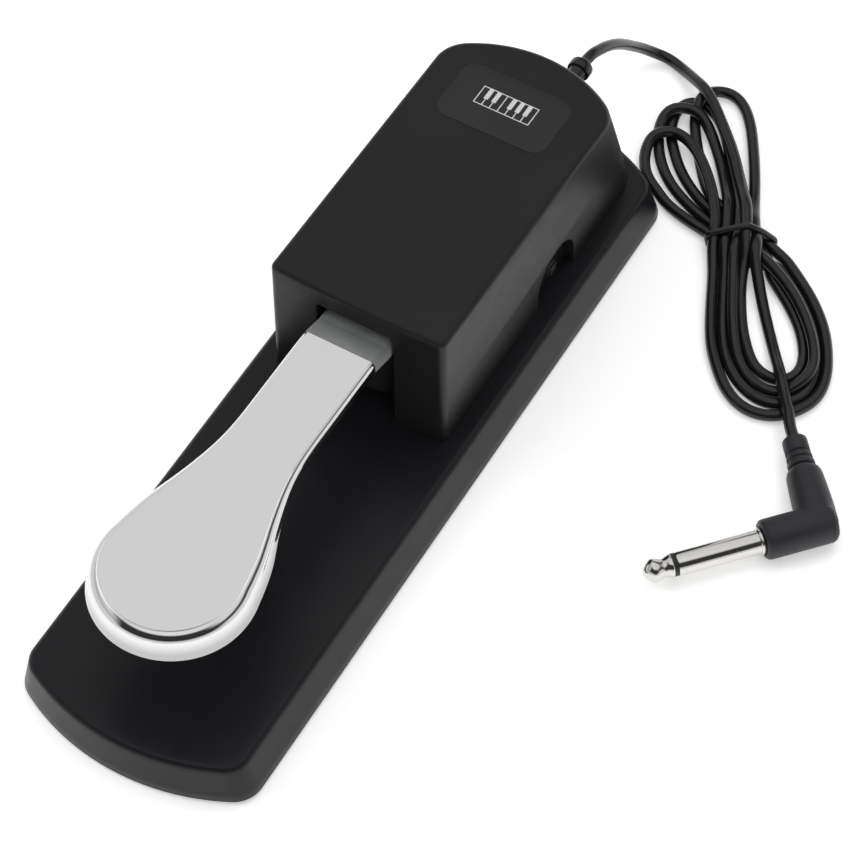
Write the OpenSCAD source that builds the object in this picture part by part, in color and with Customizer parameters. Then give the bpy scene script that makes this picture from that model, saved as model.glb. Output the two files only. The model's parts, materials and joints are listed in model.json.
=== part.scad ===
// Piano-style sustain pedal with a chrome lever, a polarity switch and a tied lead.
// Origin: middle of the base on the floor. +Y runs from the player's toe end to the
// cable end, +X to the polarity switch side, +Z up. Millimetres.

/* [Base] */
// Length of the base, toe end to cable end
base_l = 232; // [228:1:236]
// Width of the base at the floor
base_w = 68; // [66:1:72]
// Height of the base's top face above the floor
base_h = 14; // [13:0.5:15]
// How far the side walls lean in from bottom to top
base_lean = 3; // [2:0.5:4]

/* [Housing] */
// Height of the housing's top at its front edge
house_z = 55.3; // [54.5:0.1:57]
// How far the top face falls from its front edge to its rear edge
house_fall = 2.5; // [1:0.5:3]
// Width of the housing where it meets the base
house_w = 51; // [50:0.5:53]
// Width of the housing at its top
house_top_w = 50.4; // [48:0.2:51]
// Wall thickness of the housing
wall = 2.2; // [2:0.1:2.4]
// Width of the slot the lever moves in
slot_w = 22.4; // [22:0.1:23]

/* [Lever] */
// Height of the lever's top face at the housing
lever_z = 47.5; // [47:0.1:48]
// Radius of the round pad's flat face
pad_r = 17.7; // [16:0.1:18]
// Half width of the neck
neck_hw = 10.2; // [9.8:0.1:10.4]
// Thickness of the pressed steel
lever_t = 2; // [1.6:0.1:2.2]
// Depth of the pad's turned-down rim
rim_drop = 8.5; // [6:0.5:9]
// How far the neck steps down where it enters the housing
neck_step = 2; // [1:0.1:2.2]
// Full travel of the lever, degrees (a drawn value: the joint's limit)
travel = 6; // [4:0.5:6]

/* [Pivot] */
// Radius of the pivot pin
pin_r = 3; // [2.5:0.1:3.2]
// Running clearance between the pin and its bushes, on the radius
pin_gap = 0.05; // [0.02:0.01:0.1]
// Distance of the pivot behind the middle of the base
pivot_y = 70; // [69:0.5:71]
// Height of the pivot
pivot_z = 36; // [35.5:0.5:37]

/* [Spring] */
// Wire thickness of the return spring
spring_wire = 1.4; // [1.2:0.1:1.6]
// Mean radius of the return spring
spring_r = 4.7; // [4.4:0.1:4.8]
// Number of turns
spring_turns = 7; // [6:1:8]

/* [Lead] */
// Diameter of the lead
cord_d = 3.2; // [3:0.1:3.2]
// Radius of the plug's sleeve (a standard 6.35 mm plug)
plug_r = 3.175; // [3.175]

/* [Hidden] */
$fn = 48;
e = 0.02;

// Lead: from the strain relief, down to the floor, round and up onto the hank
lead_route = [[0, 120, 28], [0.2, 123.6, 27.6], [0.7, 128.4, 25.6], [1.2, 133.8, 22.2], [1.8, 139.1, 17.6], [2.5, 144.4, 12], [3.6, 148.6, 7.6],
    [5.6, 151.4, 4.4], [8.6, 153, 2.4], [12, 152.7, 1.9], [15.2, 151.4, 2.9], [18, 149.8, 4.4], [20.8, 147.8, 6], [24.6, 145.2, 7.2]];
// Tail: from the hank's far lobe to the plug's relief
tail_route = [[87.5, 69.2, 8], [91, 63.8, 7], [94.5, 58.9, 6], [97.6, 54.7, 5.5], [99.6, 52.2, 5.4], [100.8, 50.8, 5.4]];
plug_c = [116.2, 30.6, 5.4];
neck_c = [117, 31.5, 5.4];
plug_a = 228;
boot_a = 130;

// ---- shapes that repeat ----
function rev(l) = [for (i = [len(l) - 1:-1:0]) l[i]];
// Right half of a plan with a convex front arc, a convex rear arc and rounded corners
function half_plan(hw, y0, y1, rf, rr, cf, cr, n, m) =
    let(yf = y0 + rf, yr = y1 - rr,
        fx = hw - cf, fy = yf - sqrt(pow(rf - cf, 2) - fx * fx),
        rx = hw - cr, ry = yr + sqrt(pow(rr - cr, 2) - rx * rx),
        af = atan2(fy - yf, fx), ar = atan2(ry - yr, rx))
    concat([for (i = [0:n]) let(a = -90 + (af + 90) * i / n) [rf * cos(a), yf + rf * sin(a)]],
        [for (i = [1:m]) let(a = af - af * i / m) [fx + cf * cos(a), fy + cf * sin(a)]],
        [for (i = [0:m]) let(a = ar * i / m) [rx + cr * cos(a), ry + cr * sin(a)]],
        [for (i = [1:n]) let(a = ar + (90 - ar) * i / n) [rr * cos(a), yr + rr * sin(a)]]);
function plan(hw, y0, y1, rf, rr, cf, cr, n = 8, m = 6) =
    let(h = half_plan(hw, y0, y1, rf, rr, cf, cr, n, m), k = len(h))
    concat(h, [for (i = [k - 2:-1:1]) [-h[i][0], h[i][1]]]);
function lift(p, z, s = 0, y0 = 0) = [for (q = p) [q[0], q[1], z - s * (q[1] - y0)]];
// Closed skin through rings of equal length, lowest first
module loft(rings) {
    n = len(rings[0]);
    k = len(rings);
    polyhedron(points = [for (r = rings) for (p = r) p],
        faces = concat([[for (j = [0:n - 1]) j]],
            [for (i = [0:k - 2]) for (j = [0:n - 1]) [i * n + j, (i + 1) * n + j, (i + 1) * n + (j + 1) % n]],
            [for (i = [0:k - 2]) for (j = [0:n - 1]) [i * n + j, (i + 1) * n + (j + 1) % n, i * n + (j + 1) % n]],
            [[for (j = [n - 1:-1:0]) (k - 1) * n + j]]), convexity = 6);
}
function unit(v) = v / norm(v);
function tang(p, i) = unit(p[min(i + 1, len(p) - 1)] - p[max(i - 1, 0)]);
// Round tube along a route that never points straight up
module tube(p, r, sides = 8) {
    loft([for (i = [0:len(p) - 1]) let(t = tang(p, i), s = unit(cross(t, [0, 0, 1])), u = cross(s, t))
        [for (j = [0:sides - 1]) let(a = 360 * (j + 0.5) / sides) p[i] + r * (cos(a) * s - sin(a) * u)]]);
}
module xcyl(r, x0, x1) translate([x0, 0, 0]) rotate([0, 90, 0]) cylinder(r = r, h = x1 - x0);
// Pan-head screw, head up, underside of the head at z = 0
module screw(len, r = 1.5, head_r = 2.8, head_h = 1.8) {
    difference() {
        union() {
            cylinder(r = head_r, h = head_h);
            translate([0, 0, -len]) cylinder(r = r, h = len + e);
        }
        for (a = [0, 90]) rotate([0, 0, a]) translate([-head_r * 0.6, -0.35, head_h - 0.9]) cube([head_r * 1.2, 0.7, 1]);
    }
}

// ---- base ----
function base_ring(z, d) = let(t = (z - 1) / (base_h - 1))
    lift(plan(base_w / 2 - base_lean * t - d, -base_l / 2 + 1.6 * t + d, base_l / 2 - 4.4 * t - d, 63.7 - 1.6 * t - d, 53 - d, 8 - t, 8 - t), z);
feet = [[-20, -88], [20, -88], [-22, 78], [22, 78]];
plate_pts = [[-24, -60], [24, -60], [-25.5, 34], [25.5, 34]];
house_pts = [[-18.5, 8], [18.5, 8], [-16.5, 97.5], [16.5, 97.5]];
brk_pts = [[-15.6, 67], [15.6, 67], [-15.6, 76.4], [15.6, 76.4]];
post_pts = [[-15, 47], [15, 47]];
module base_shell() {
    color([0.055, 0.055, 0.06]) difference() {
        union() {
            difference() {
                loft([base_ring(1, 0), base_ring(2, 0), base_ring(base_h - 1.2, 0), base_ring(base_h - 0.35, 0.3), base_ring(base_h, 1.1)]);
                translate([0, 0, 0.5]) loft([base_ring(0, 2.6), base_ring(base_h - 3.2, 3.4)]);
            }
            for (p = plate_pts) translate([p[0], p[1], 2.7]) cylinder(r = 3.6, h = base_h - 4);
            for (p = house_pts) translate([p[0], p[1], 5]) cylinder(r = 4, h = base_h - 6);
            for (p = brk_pts) translate([p[0], p[1], 4.5]) cylinder(r = 3.4, h = base_h - 6);
            for (p = post_pts) translate([p[0], p[1], 4]) cylinder(r = 3.2, h = 25.9);
            for (y = [-78, -44, -10]) translate([-28.5, y, base_h - 7]) cube([57, 1.6, 5]);
        }
        for (p = plate_pts) translate([p[0], p[1], -1]) cylinder(r = 1.6, h = 10.5);
        for (p = house_pts) {
            translate([p[0], p[1], -1]) cylinder(r = 1.6, h = 20);
            translate([p[0], p[1], -1]) cylinder(r = 3.1, h = 8);
        }
        for (p = brk_pts) translate([p[0], p[1], 6]) cylinder(r = 1.6, h = 12);
        for (p = post_pts) translate([p[0], p[1], 22]) cylinder(r = 1.3, h = 12);
    }
}
module bottom_plate() {
    color([0.35, 0.36, 0.37]) difference() {
        translate([0, 0, 1.2]) linear_extrude(1.5) polygon(plan(base_w / 2 - 3.5, -base_l / 2 + 3.6, base_l / 2 - 4.2, 60, 49, 7, 7));
        for (p = plate_pts) translate([p[0], p[1], 0]) cylinder(r = 1.7, h = 5);
        for (p = house_pts) translate([p[0], p[1], 0]) cylinder(r = 3.3, h = 5);
    }
}
module rubber_feet() {
    color([0.03, 0.03, 0.03]) for (p = feet) translate([p[0], p[1], 0]) rotate_extrude()
        polygon([[0, 0], [5.6, 0], [6.5, 0.5], [6.5, 1.18], [0, 1.18]]);
}
module plate_screws() {
    color([0.5, 0.5, 0.5]) for (p = plate_pts) translate([p[0], p[1], 1.18]) rotate([180, 0, 0]) screw(6, 1.5, 2.6, 1);
}

// ---- housing ----
function house_ring(z, d, flat = 0) =
    let(t = (z - base_h) / (house_z - base_h), c = max(1, 2 - d * 0.6), cr = 11 - t - d * 0.5)
    lift(plan(house_w / 2 - (house_w - house_top_w) / 2 * t - d, -0.5 + d, 109.5 - 12.3 * t - d, 400, 50 - 13 * t - d, c, cr),
        z, house_fall / 97 * (flat > 0 ? 1 : 0), -0.5);
arch_y = 58.5;
module arch(x0, x1, r, top) translate([x0, 0, 0]) rotate([90, 0, 90]) linear_extrude(x1 - x0)
    union() { translate([arch_y, top - r]) circle(r = r); translate([arch_y - r, 10]) square([2 * r, top - r - 10]); }
module housing() {
    color([0.06, 0.06, 0.065]) difference() {
        union() {
            difference() {
                loft([house_ring(base_h + e, 0), house_ring(30, 0), house_ring(45, 0), house_ring(house_z - 2.2, 0, 1),
                    house_ring(house_z - 0.75, 0.45, 1), house_ring(house_z - 0.15, 1.25, 1), house_ring(house_z, 2.2, 1)]);
                loft([house_ring(base_h - 2, wall), house_ring(30, wall), house_ring(45, wall), house_ring(house_z - 2.7, wall, 1)]);
            }
            for (p = house_pts) intersection() {
                union() {
                    translate([p[0], p[1], base_h + e]) cylinder(r = 3.6, h = 22);
                    translate([p[0] > 0 ? p[0] : -26, p[1] - 0.9, base_h + e]) cube([26 - abs(p[0]), 1.8, 20]);
                }
                loft([house_ring(base_h + e, 0.5), house_ring(house_z - 3, 0.5, 1)]);
            }
            intersection() {
                arch(18.4, 30, 11.3, 31);
                loft([house_ring(base_h + e, 0.5), house_ring(house_z - 3, 0.5, 1)]);
            }
            translate([-13.6, 4.5, house_z - 6.5]) cube([27.2, 1.8, 5]);
        }
        // slot for the lever, open at the base
        translate([-slot_w / 2, -5, base_h - 4]) cube([slot_w, 9, 39.6]);
        // thumb recess round the polarity switch
        arch(22.4, 32, 9.5, 29.4);
        translate([15, arch_y - 5.2, 18.6]) cube([9, 7.4, 4.2]);
        // hole for the strain relief
        translate([0, 90, 28]) rotate([-90, 0, 0]) cylinder(r = 2.9, h = 30);
        for (p = house_pts) translate([p[0], p[1], base_h - 2]) cylinder(r = 1.35, h = 18);
        // shallow seat for the nameplate
        translate([-0.5, 75.5, house_z - 0.45 - house_fall / 97 * 76]) rotate([-atan(house_fall / 97), 0, 0]) linear_extrude(3) plate_outline(16.2, 10.2, 4.2);
    }
}
module plate_outline(hx, hy, r) polygon([for (q = [[1, 1, 0], [-1, 1, 90], [-1, -1, 180], [1, -1, 270]])
    for (i = [0:5]) let(a = q[2] + 18 * i) [q[0] * (hx - r) + r * cos(a), q[1] * (hy - r) + r * sin(a)]]);
module housing_screws() {
    color([0.45, 0.45, 0.46]) for (p = house_pts) translate([p[0], p[1], 7 - e]) rotate([180, 0, 0]) screw(16, 1.3, 2.7, 1.8);
}
module nameplate() {
    color([0.05, 0.05, 0.055]) translate([-0.5, 75.5, house_z - 0.43 - house_fall / 97 * 76])
        rotate([-atan(house_fall / 97), 0, 0]) linear_extrude(0.4) plate_outline(16, 10, 4);
}

// ---- lever ----
// Half widths of the flat face along the neck, then the round pad
pad_y = -83.3;
neck = [[-79.3, pad_r - 0.45], [-75, pad_r - 1.1], [-70, pad_r - 2], [-65, 14.5], [-60, 13.2], [-55, 12.1], [-50, 11.2], [-45, 10.6], [-40, 10.3], [-34, neck_hw], [30, neck_hw]];
// The rim's overhang dies out along the neck
function ease(t) = let(q = min(max(t, 0), 1)) q * q * (3 - 2 * q);
function lever_plan(g, gn, y1) = concat(
    [for (i = [0:20]) let(a = -90 + 100 * i / 20) [(pad_r + g) * cos(a), pad_y + (pad_r + g) * sin(a)]],
    [for (y = [-77:3:-35]) [lookup(y, neck) + gn + (g - gn) * ease((-38 - y) / 42), y]],
    [for (y = [-28, -19, y1]) [neck_hw + gn, y]]);
function lever_ring(g, gn, z, y1) = let(h = lever_plan(g, gn, y1), k = len(h), o = concat(h, [for (i = [k - 1:-1:1]) [-h[i][0], h[i][1]]]))
    [for (q = o) [q[0], q[1], z - q[1] * 0.021]];
// How far the turned-down edge hangs below the top face
function hang(y) = let(f = ease((-34 - y) / 66)) 4 * (1 - f) + rim_drop * f;
ramp_y0 = -11.5;
ramp_y1 = -1;
// Height of the lever's top face
function lever_top(y) = lever_z - y * 0.021 - neck_step * min(max((y - ramp_y0) / (ramp_y1 - ramp_y0), 0), 1);
module pedal_lever() {
    color([0.8, 0.8, 0.8]) difference() {
        union() {
            difference() {
                loft([lever_ring(3.3, 0.1, lever_z - rim_drop, ramp_y0), lever_ring(3.2, 0.1, lever_z - 5.2, ramp_y0), lever_ring(2.7, 0.1, lever_z - 2.9, ramp_y0),
                    lever_ring(1.8, 0, lever_z - 1.2, ramp_y0), lever_ring(0.7, -0.3, lever_z - 0.3, ramp_y0), lever_ring(-0.1, -0.6, lever_z, ramp_y0)]);
                loft([lever_ring(1.5, -lever_t + 0.2, lever_z - rim_drop - 3, -6), lever_ring(1.3, -lever_t + 0.2, lever_z - 5.2, -6),
                    lever_ring(0, -lever_t + 0.2, lever_z - lever_t, -6)]);
                // the edge gets shallower from the pad to the neck
                rotate([90, 0, 90]) translate([0, 0, -30]) linear_extrude(60)
                    polygon(concat([[-100, 30]], [for (y = [-100:6:-33]) [y, lever_z - y * 0.021 - hang(y)]], [[-5, lever_z - 3.9], [-5, 30]]));
            }
            // stepped rear part of the neck
            rotate([90, 0, 90]) translate([0, 0, -neck_hw - 0.1]) linear_extrude(2 * neck_hw + 0.2)
                polygon([[ramp_y0 - e, lever_top(ramp_y0)], [ramp_y1, lever_top(ramp_y1)], [30, lever_top(30)], [30, lever_top(30) - lever_t], [ramp_y1, lever_top(ramp_y1) - lever_t], [ramp_y0 - e, lever_top(ramp_y0) - lever_t]]);
            for (x = [-neck_hw - 0.1, neck_hw - 1.7]) rotate([90, 0, 90]) translate([0, 0, x]) linear_extrude(1.8)
                polygon([[ramp_y0 - e, lever_top(ramp_y0) - 1], [ramp_y1, lever_top(ramp_y1) - 1], [30, lever_top(30) - 1], [30, lever_top(30) - 3.6], [ramp_y1, lever_top(ramp_y1) - 3.8], [ramp_y0 - e, lever_z - 4]]);
        }
        for (y = [2, 20]) translate([0, y, 30]) cylinder(r = 2.05, h = 30);
    }
}
carrier_top = lever_z - lever_t - neck_step - 0.75;
module lever_carrier() {
    color([0.4, 0.41, 0.42]) difference() {
        union() {
            translate([-7.9, -3, carrier_top - 2]) cube([15.8, 82, 2]);
            for (x = [-7.9, 5.9]) translate([x, 0, 0]) rotate([90, 0, 90]) linear_extrude(2)
                polygon([[-3, carrier_top - 1], [-3, 39.5], [54, 37], [62, 31], [66, 29.5], [74, 29.5], [79, 33], [79, carrier_top - 1]]);
        }
        translate([0, pivot_y, pivot_z]) xcyl(pin_r + 0.02, -10, 10);
        for (y = [2, 20]) translate([0, y, 30]) cylinder(r = 2.05, h = 30);
        // locating hole of the spring
        translate([0, spring_y, 30]) cylinder(r = 1.5, h = 30);
    }
}
module lever_rivets() {
    color([0.6, 0.6, 0.6]) for (y = [2, 20]) translate([0, y, 0]) {
        translate([0, 0, carrier_top - 2.9]) cylinder(r = 3.2, h = 0.88);
        translate([0, 0, carrier_top - 2.1]) cylinder(r = 2, h = lever_top(y) - carrier_top + 1.8);
    }
}

// ---- pivot ----
module pivot_bracket() {
    color([0.55, 0.56, 0.57]) difference() {
        union() {
            translate([-18.2, 62, base_h + e]) cube([36.4, 18, 2]);
            for (s = [-1, 1]) translate([s > 0 ? 10.2 : -12.7, 0, 0]) rotate([90, 0, 90]) linear_extrude(2.5)
                union() {
                    translate([pivot_y, pivot_z]) circle(r = 7.5);
                    polygon([[60, base_h + 1], [80, base_h + 1], [77.5, pivot_z], [62.5, pivot_z]]);
                }
        }
        translate([0, pivot_y, pivot_z]) xcyl(4.52, -14, -9);
        translate([0, pivot_y, pivot_z]) xcyl(4.52, 9, 14);
        for (p = brk_pts) translate([p[0], p[1], 10]) cylinder(r = 1.7, h = 8);
    }
}
module bracket_screws() {
    color([0.5, 0.5, 0.5]) for (p = brk_pts) translate([p[0], p[1], base_h + 2.04]) screw(8.5, 1.5, 2.6, 1.6);
}
module pivot_pin() {
    color([0.62, 0.63, 0.64]) translate([0, pivot_y, pivot_z]) difference() {
        xcyl(pin_r, -15, 15);
        for (x = [-14, 13.2]) translate([x, 0, 0]) difference() { xcyl(pin_r + 1, 0, 0.8); xcyl(2.3, -1, 2); }
    }
}
module pivot_bushes() {
    color([0.85, 0.84, 0.78]) for (s = [0, 180]) translate([0, pivot_y, pivot_z]) rotate([0, 0, s]) difference() {
        union() { xcyl(4.5, 9.2, 12.9); xcyl(6, 9, 10.18); }
        xcyl(pin_r + pin_gap, 8, 14);
    }
}
module pin_clips() {
    color([0.3, 0.3, 0.31]) for (x = [-13.95, 13.25]) translate([x, pivot_y, pivot_z]) difference() {
        xcyl(5, 0, 0.7);
        xcyl(2.32, -1, 2);
        translate([-1, -1.9, -8]) cube([3, 3.8, 8]);
    }
}
spring_y = 33;
spring_z0 = base_h + 2.5;
spring_z1 = carrier_top - 2.05;
module return_spring() {
    n = spring_turns * 16;
    color([0.7, 0.7, 0.72]) translate([0, spring_y, 0])
        tube([for (i = [0:n]) let(t = i / n, q = min(max((t * spring_turns - 0.8) / (spring_turns - 1.6), 0), 1))
            [spring_r * cos(i * 22.5), spring_r * sin(i * 22.5),
             spring_z0 + spring_wire / 2 + 0.05 + (spring_z1 - spring_z0 - spring_wire - 0.1) * q]], spring_wire / 2 * 0.98, 6);
}
module spring_seat() {
    color([0.75, 0.74, 0.7]) translate([0, spring_y, base_h + e]) union() {
        cylinder(r = 8.2, h = 2.45);
        cylinder(r = 3.3, h = 8);
        difference() { cylinder(r = 8.2, h = 4.4); translate([0, 0, 1]) cylinder(r = 6.2, h = 6); }
    }
}
module up_stop_pad() {
    color([0.25, 0.05, 0.05]) difference() {
        translate([-8, 6.8, lever_top(6.8) + 0.12]) cube([16, 9, 12]);
        translate([-20, 0, house_z - 2.7 - 0.06]) rotate([-atan(house_fall / 97), 0, 0]) translate([0, -5, 0]) cube([40, 60, 20]);
    }
}
module down_stop_bumper() {
    color([0.05, 0.05, 0.05]) translate([0, 14, base_h + e]) difference() {
        cylinder(r1 = 8.4, r2 = 7.6, h = 18);
        translate([0, 0, 3]) cylinder(r = 4.4, h = 20);
    }
}

// ---- electrics ----
board_z = 29.95;
module circuit_board() {
    color([0.05, 0.25, 0.12]) difference() {
        translate([-18, 40.5, board_z]) cube([36, 15.1, 1.6]);
        for (p = post_pts) translate([p[0], p[1], 20]) cylinder(r = 1.4, h = 30);
    }
}
module board_screws() {
    color([0.5, 0.5, 0.5]) for (p = post_pts) translate([p[0], p[1], board_z + 1.62]) screw(6, 1.2, 2.2, 1.2);
}
module contact_switch() {
    color([0.08, 0.08, 0.09]) difference() {
        translate([-3.1, 42.8, board_z + 1.62]) cube([6.2, 12.6, 6.2]);
        translate([0, 50, board_z + 2.3]) cylinder(r = 1.25, h = 10);
    }
}
module switch_plunger() {
    color([0.7, 0.1, 0.08]) translate([0, 50, board_z + 5.6]) cylinder(r = 1.2, h = carrier_top - 2.06 - board_z - 5.6);
}
knob_y = 58.6;
knob_z = 20.7;
module polarity_switch() {
    color([0.6, 0.6, 0.62]) difference() {
        translate([13.2, arch_y - 7.2, 17.2]) cube([5.1, 12.4, 7]);
        translate([15, arch_y - 5.2, 18.6]) cube([9, 7.4, 4.2]);
    }
}
module polarity_knob() {
    color([0.05, 0.05, 0.05]) translate([15.3, knob_y - 1.6, knob_z - 1.9]) union() {
        cube([8.7, 3.2, 3.8]);
        for (k = [0:2]) translate([8.5, 0.2 + k * 1.05, 0.2]) cube([0.6, 0.6, 3.4]);
    }
}
module inner_leads() {
    color([0.6, 0.08, 0.06]) for (k = [-1, 1])
        tube([[k * 0.8, 83.96, 28], [k * 0.8, 83.3, 28], [k * 3, 82, 26.6], [k * 8, 81.6, 25], [k * 13.5, 80.6, 24], [k * 16.5, 77, 23.6], [k * 16.6, 71, 23.8], [k * 16.5, 65, 25.6], [k * 15.8, 60, 27], [k * 14.5, 55.5, 28.3], [k * 12, 52.5, board_z - 0.73]], 0.7, 6);
}
module cable_clamp() {
    color([0.1, 0.1, 0.1]) difference() {
        union() {
            translate([-9, 86.5, 29.8]) cube([18, 6, 2.4]);
            translate([-9, 86.5, base_h + e]) cube([18, 6, 12.1]);
        }
        translate([0, 80, 28]) rotate([-90, 0, 0]) cylinder(r = 2.25, h = 20);
        for (x = [-6, 6]) translate([x, 89.5, base_h + 4]) cylinder(r = 1.3, h = 30);
    }
}
module clamp_screws() {
    color([0.5, 0.5, 0.5]) for (x = [-6, 6]) translate([x, 89.5, 32.22]) screw(12, 1.2, 2.2, 1.3);
}

// ---- lead and plug ----
module strain_relief() {
    color([0.03, 0.03, 0.035]) translate([0, 0, 28]) rotate([-90, 0, 0]) difference() {
        rotate_extrude() polygon([[1.65, 93], [2.15, 93], [2.15, 96.4], [4, 96.4], [4, 100.6], [2.7, 100.6], [2.7, 108.2], [3.2, 108.4], [3.2, 110.8], [2.3, 111.4], [2.1, 120], [1.65, 120]]);
    }
}
module cable_lead() {
    color([0.02, 0.02, 0.02]) union() {
        tube(lead_route, cord_d / 2);
        translate([0, 84, 28]) rotate([-90, 0, 0]) cylinder(r = cord_d / 2, h = 36.1);
    }
}
module cable_tail() { color([0.02, 0.02, 0.02]) tube(tail_route, cord_d / 2); }
// Outer shape of the hank: two lobes that cross under the tie
module round_hull(l) hull() for (q = l) translate([q[0], q[1]]) circle(r = q[2], $fn = 28);
module cable_hank() {
    color([0.02, 0.02, 0.02]) translate([0, 0, 0.1]) linear_extrude(7.5, convexity = 6) difference() {
        union() {
            round_hull([[24.2, 134.6, 7], [29.2, 146.6, 6.2], [55, 112.5, 6.6], [40, 138, 6]]);
            round_hull([[24.2, 134.6, 7], [25.6, 121.6, 7.4], [31.6, 111.4, 4.2], [45.5, 107.4, 5.2], [52, 110, 5]]);
            round_hull([[54.6, 106.6, 6], [64, 84, 5.4], [83.6, 69.2, 15], [87.2, 78.4, 12.8], [64.5, 105.2, 6.4]]);
        }
        round_hull([[28, 132, 2.6], [36, 121, 1.2]]);
        round_hull([[84, 73, 4.2], [71, 94, 1.2]]);
    }
}
module hank_tie() {
    color([0.02, 0.02, 0.02]) translate([57.2, 105.4, 0]) rotate([0, 0, 30]) difference() {
        translate([-9, -0.9, 0.02]) cube([18, 1.8, 8.6]);
        translate([-8, -3, 0.9]) cube([16, 6, 6.9]);
    }
}
module on_sleeve() translate(plug_c) rotate([0, 0, plug_a]) rotate([0, 90, 0]) children();
module plug_boot() {
    color([0.03, 0.03, 0.035]) difference() {
        union() {
            on_sleeve() rotate_extrude() polygon([[0, -5.4], [4.6, -5.4], [5.3, -4.6], [5.3, 13.2], [4.9, 14], [0, 14]]);
            translate(neck_c) rotate([0, 0, boot_a]) rotate([0, 90, 0]) rotate_extrude()
                polygon([[0, 0], [5.3, 0], [5.3, 5], [4.8, 14.8], [4.2, 16.6], [3.1, 16.8], [3.1, 17.5], [3.65, 17.7], [3.65, 19], [3, 19.2], [3, 19.8], [3.45, 20], [3.4, 21.1], [2.8, 21.3], [2.8, 21.9], [3.35, 22.1], [3.3, 26], [2.9, 26.6], [0, 26.6]]);
        }
        on_sleeve() translate([0, 0, 6]) cylinder(r = 2.6, h = 20);
        translate(neck_c) rotate([0, 0, boot_a]) rotate([0, 90, 0]) translate([0, 0, 18]) cylinder(r = cord_d / 2 + 0.06, h = 20);
    }
}
module plug_sleeve() {
    color([0.75, 0.75, 0.74]) on_sleeve() difference() {
        rotate_extrude() polygon([[0, 6.1], [2.5, 6.1], [2.5, 14.05], [plug_r, 14.05], [plug_r, 37.2], [0, 37.2]]);
        translate([0, 0, 20]) cylinder(r = 1.5, h = 30);
    }
}
module plug_ring() {
    color([0.02, 0.02, 0.02]) on_sleeve() difference() {
        translate([0, 0, 37.22]) cylinder(r = plug_r - 0.17, h = 1.2);
        translate([0, 0, 30]) cylinder(r = 1.5, h = 30);
    }
}
module plug_tip() {
    color([0.75, 0.75, 0.74]) on_sleeve() rotate_extrude()
        polygon([[0, 30], [1.48, 30], [1.48, 38.44], [3.1, 38.44], [2.5, 40.2], [2.45, 40.9], [3.15, 43.2], [3.1, 43.8], [1, 46], [0, 46.1]]);
}

base_shell();
bottom_plate();
rubber_feet();
plate_screws();
housing();
housing_screws();
nameplate();
pedal_lever();
lever_carrier();
lever_rivets();
pivot_bracket();
bracket_screws();
pivot_pin();
pivot_bushes();
pin_clips();
return_spring();
spring_seat();
up_stop_pad();
down_stop_bumper();
circuit_board();
board_screws();
contact_switch();
switch_plunger();
polarity_switch();
polarity_knob();
inner_leads();
cable_clamp();
clamp_screws();
strain_relief();
cable_lead();
cable_hank();
cable_tail();
hank_tie();
plug_boot();
plug_sleeve();
plug_ring();
plug_tip();
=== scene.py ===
"""Looks of the sustain pedal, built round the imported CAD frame. Metres; the tables below are in millimetres."""
import math, json, random
import bpy, bmesh
import numpy as np
from mathutils import Vector, Matrix


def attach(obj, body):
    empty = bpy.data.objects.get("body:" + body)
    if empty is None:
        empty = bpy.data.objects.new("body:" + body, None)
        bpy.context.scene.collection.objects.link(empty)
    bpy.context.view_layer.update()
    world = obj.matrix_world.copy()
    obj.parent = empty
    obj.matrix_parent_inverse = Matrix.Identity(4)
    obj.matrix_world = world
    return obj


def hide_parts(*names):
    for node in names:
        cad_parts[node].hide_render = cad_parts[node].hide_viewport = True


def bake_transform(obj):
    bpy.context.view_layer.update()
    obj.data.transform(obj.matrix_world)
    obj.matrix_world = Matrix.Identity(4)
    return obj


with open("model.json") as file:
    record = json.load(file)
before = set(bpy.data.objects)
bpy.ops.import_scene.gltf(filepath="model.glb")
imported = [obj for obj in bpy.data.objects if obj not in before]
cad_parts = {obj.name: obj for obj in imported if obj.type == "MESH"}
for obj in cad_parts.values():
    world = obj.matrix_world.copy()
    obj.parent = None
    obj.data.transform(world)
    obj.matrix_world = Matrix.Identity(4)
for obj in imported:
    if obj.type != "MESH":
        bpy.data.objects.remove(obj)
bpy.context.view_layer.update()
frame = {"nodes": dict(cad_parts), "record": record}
random.seed(7)
MM = 0.001
REC = frame["record"]

# ------------------------------------------------------------------ camera
cam_data = bpy.data.cameras.new("camera")
cam_data.lens = 133.44
cam_data.sensor_width = 36
cam_data.clip_start = 0.02
cam_data.clip_end = 20
cam = bpy.data.objects.new("camera", cam_data)
bpy.context.scene.collection.objects.link(cam)
right = Vector((0.8628, 0.50555, -0.00181)).normalized()
back = Vector((0.28874, -0.48983, 0.82261)).normalized()
up = back.cross(right).normalized()
right = up.cross(back).normalized()
m = Matrix((right, up, back)).transposed().to_4x4()
m.translation = Vector((0.25538, -0.39694, 0.68405))
cam.matrix_world = m
bpy.context.scene.camera = cam


# ------------------------------------------------------------------ small helpers
def link(obj):
    bpy.context.scene.collection.objects.link(obj)
    return obj


def mesh_obj(name, verts, faces, smooth=True, scale=MM):
    me = bpy.data.meshes.new(name)
    me.from_pydata([tuple(c * scale for c in v) for v in verts], [], faces)
    me.validate()
    me.update()
    if smooth:
        me.polygons.foreach_set("use_smooth", [True] * len(me.polygons))
    return link(bpy.data.objects.new(name, me))


def bm_obj(name, bm, smooth=True):
    me = bpy.data.meshes.new(name)
    bm.normal_update()
    bm.to_mesh(me)
    bm.free()
    if smooth:
        me.polygons.foreach_set("use_smooth", [True] * len(me.polygons))
    return link(bpy.data.objects.new(name, me))


def apply_mods(obj):
    dg = bpy.context.evaluated_depsgraph_get()
    ev = obj.evaluated_get(dg)
    me = bpy.data.meshes.new_from_object(ev, preserve_all_data_layers=True, depsgraph=dg)
    obj.modifiers.clear()
    old = obj.data
    obj.data = me
    bpy.data.meshes.remove(old)
    return obj


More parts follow.
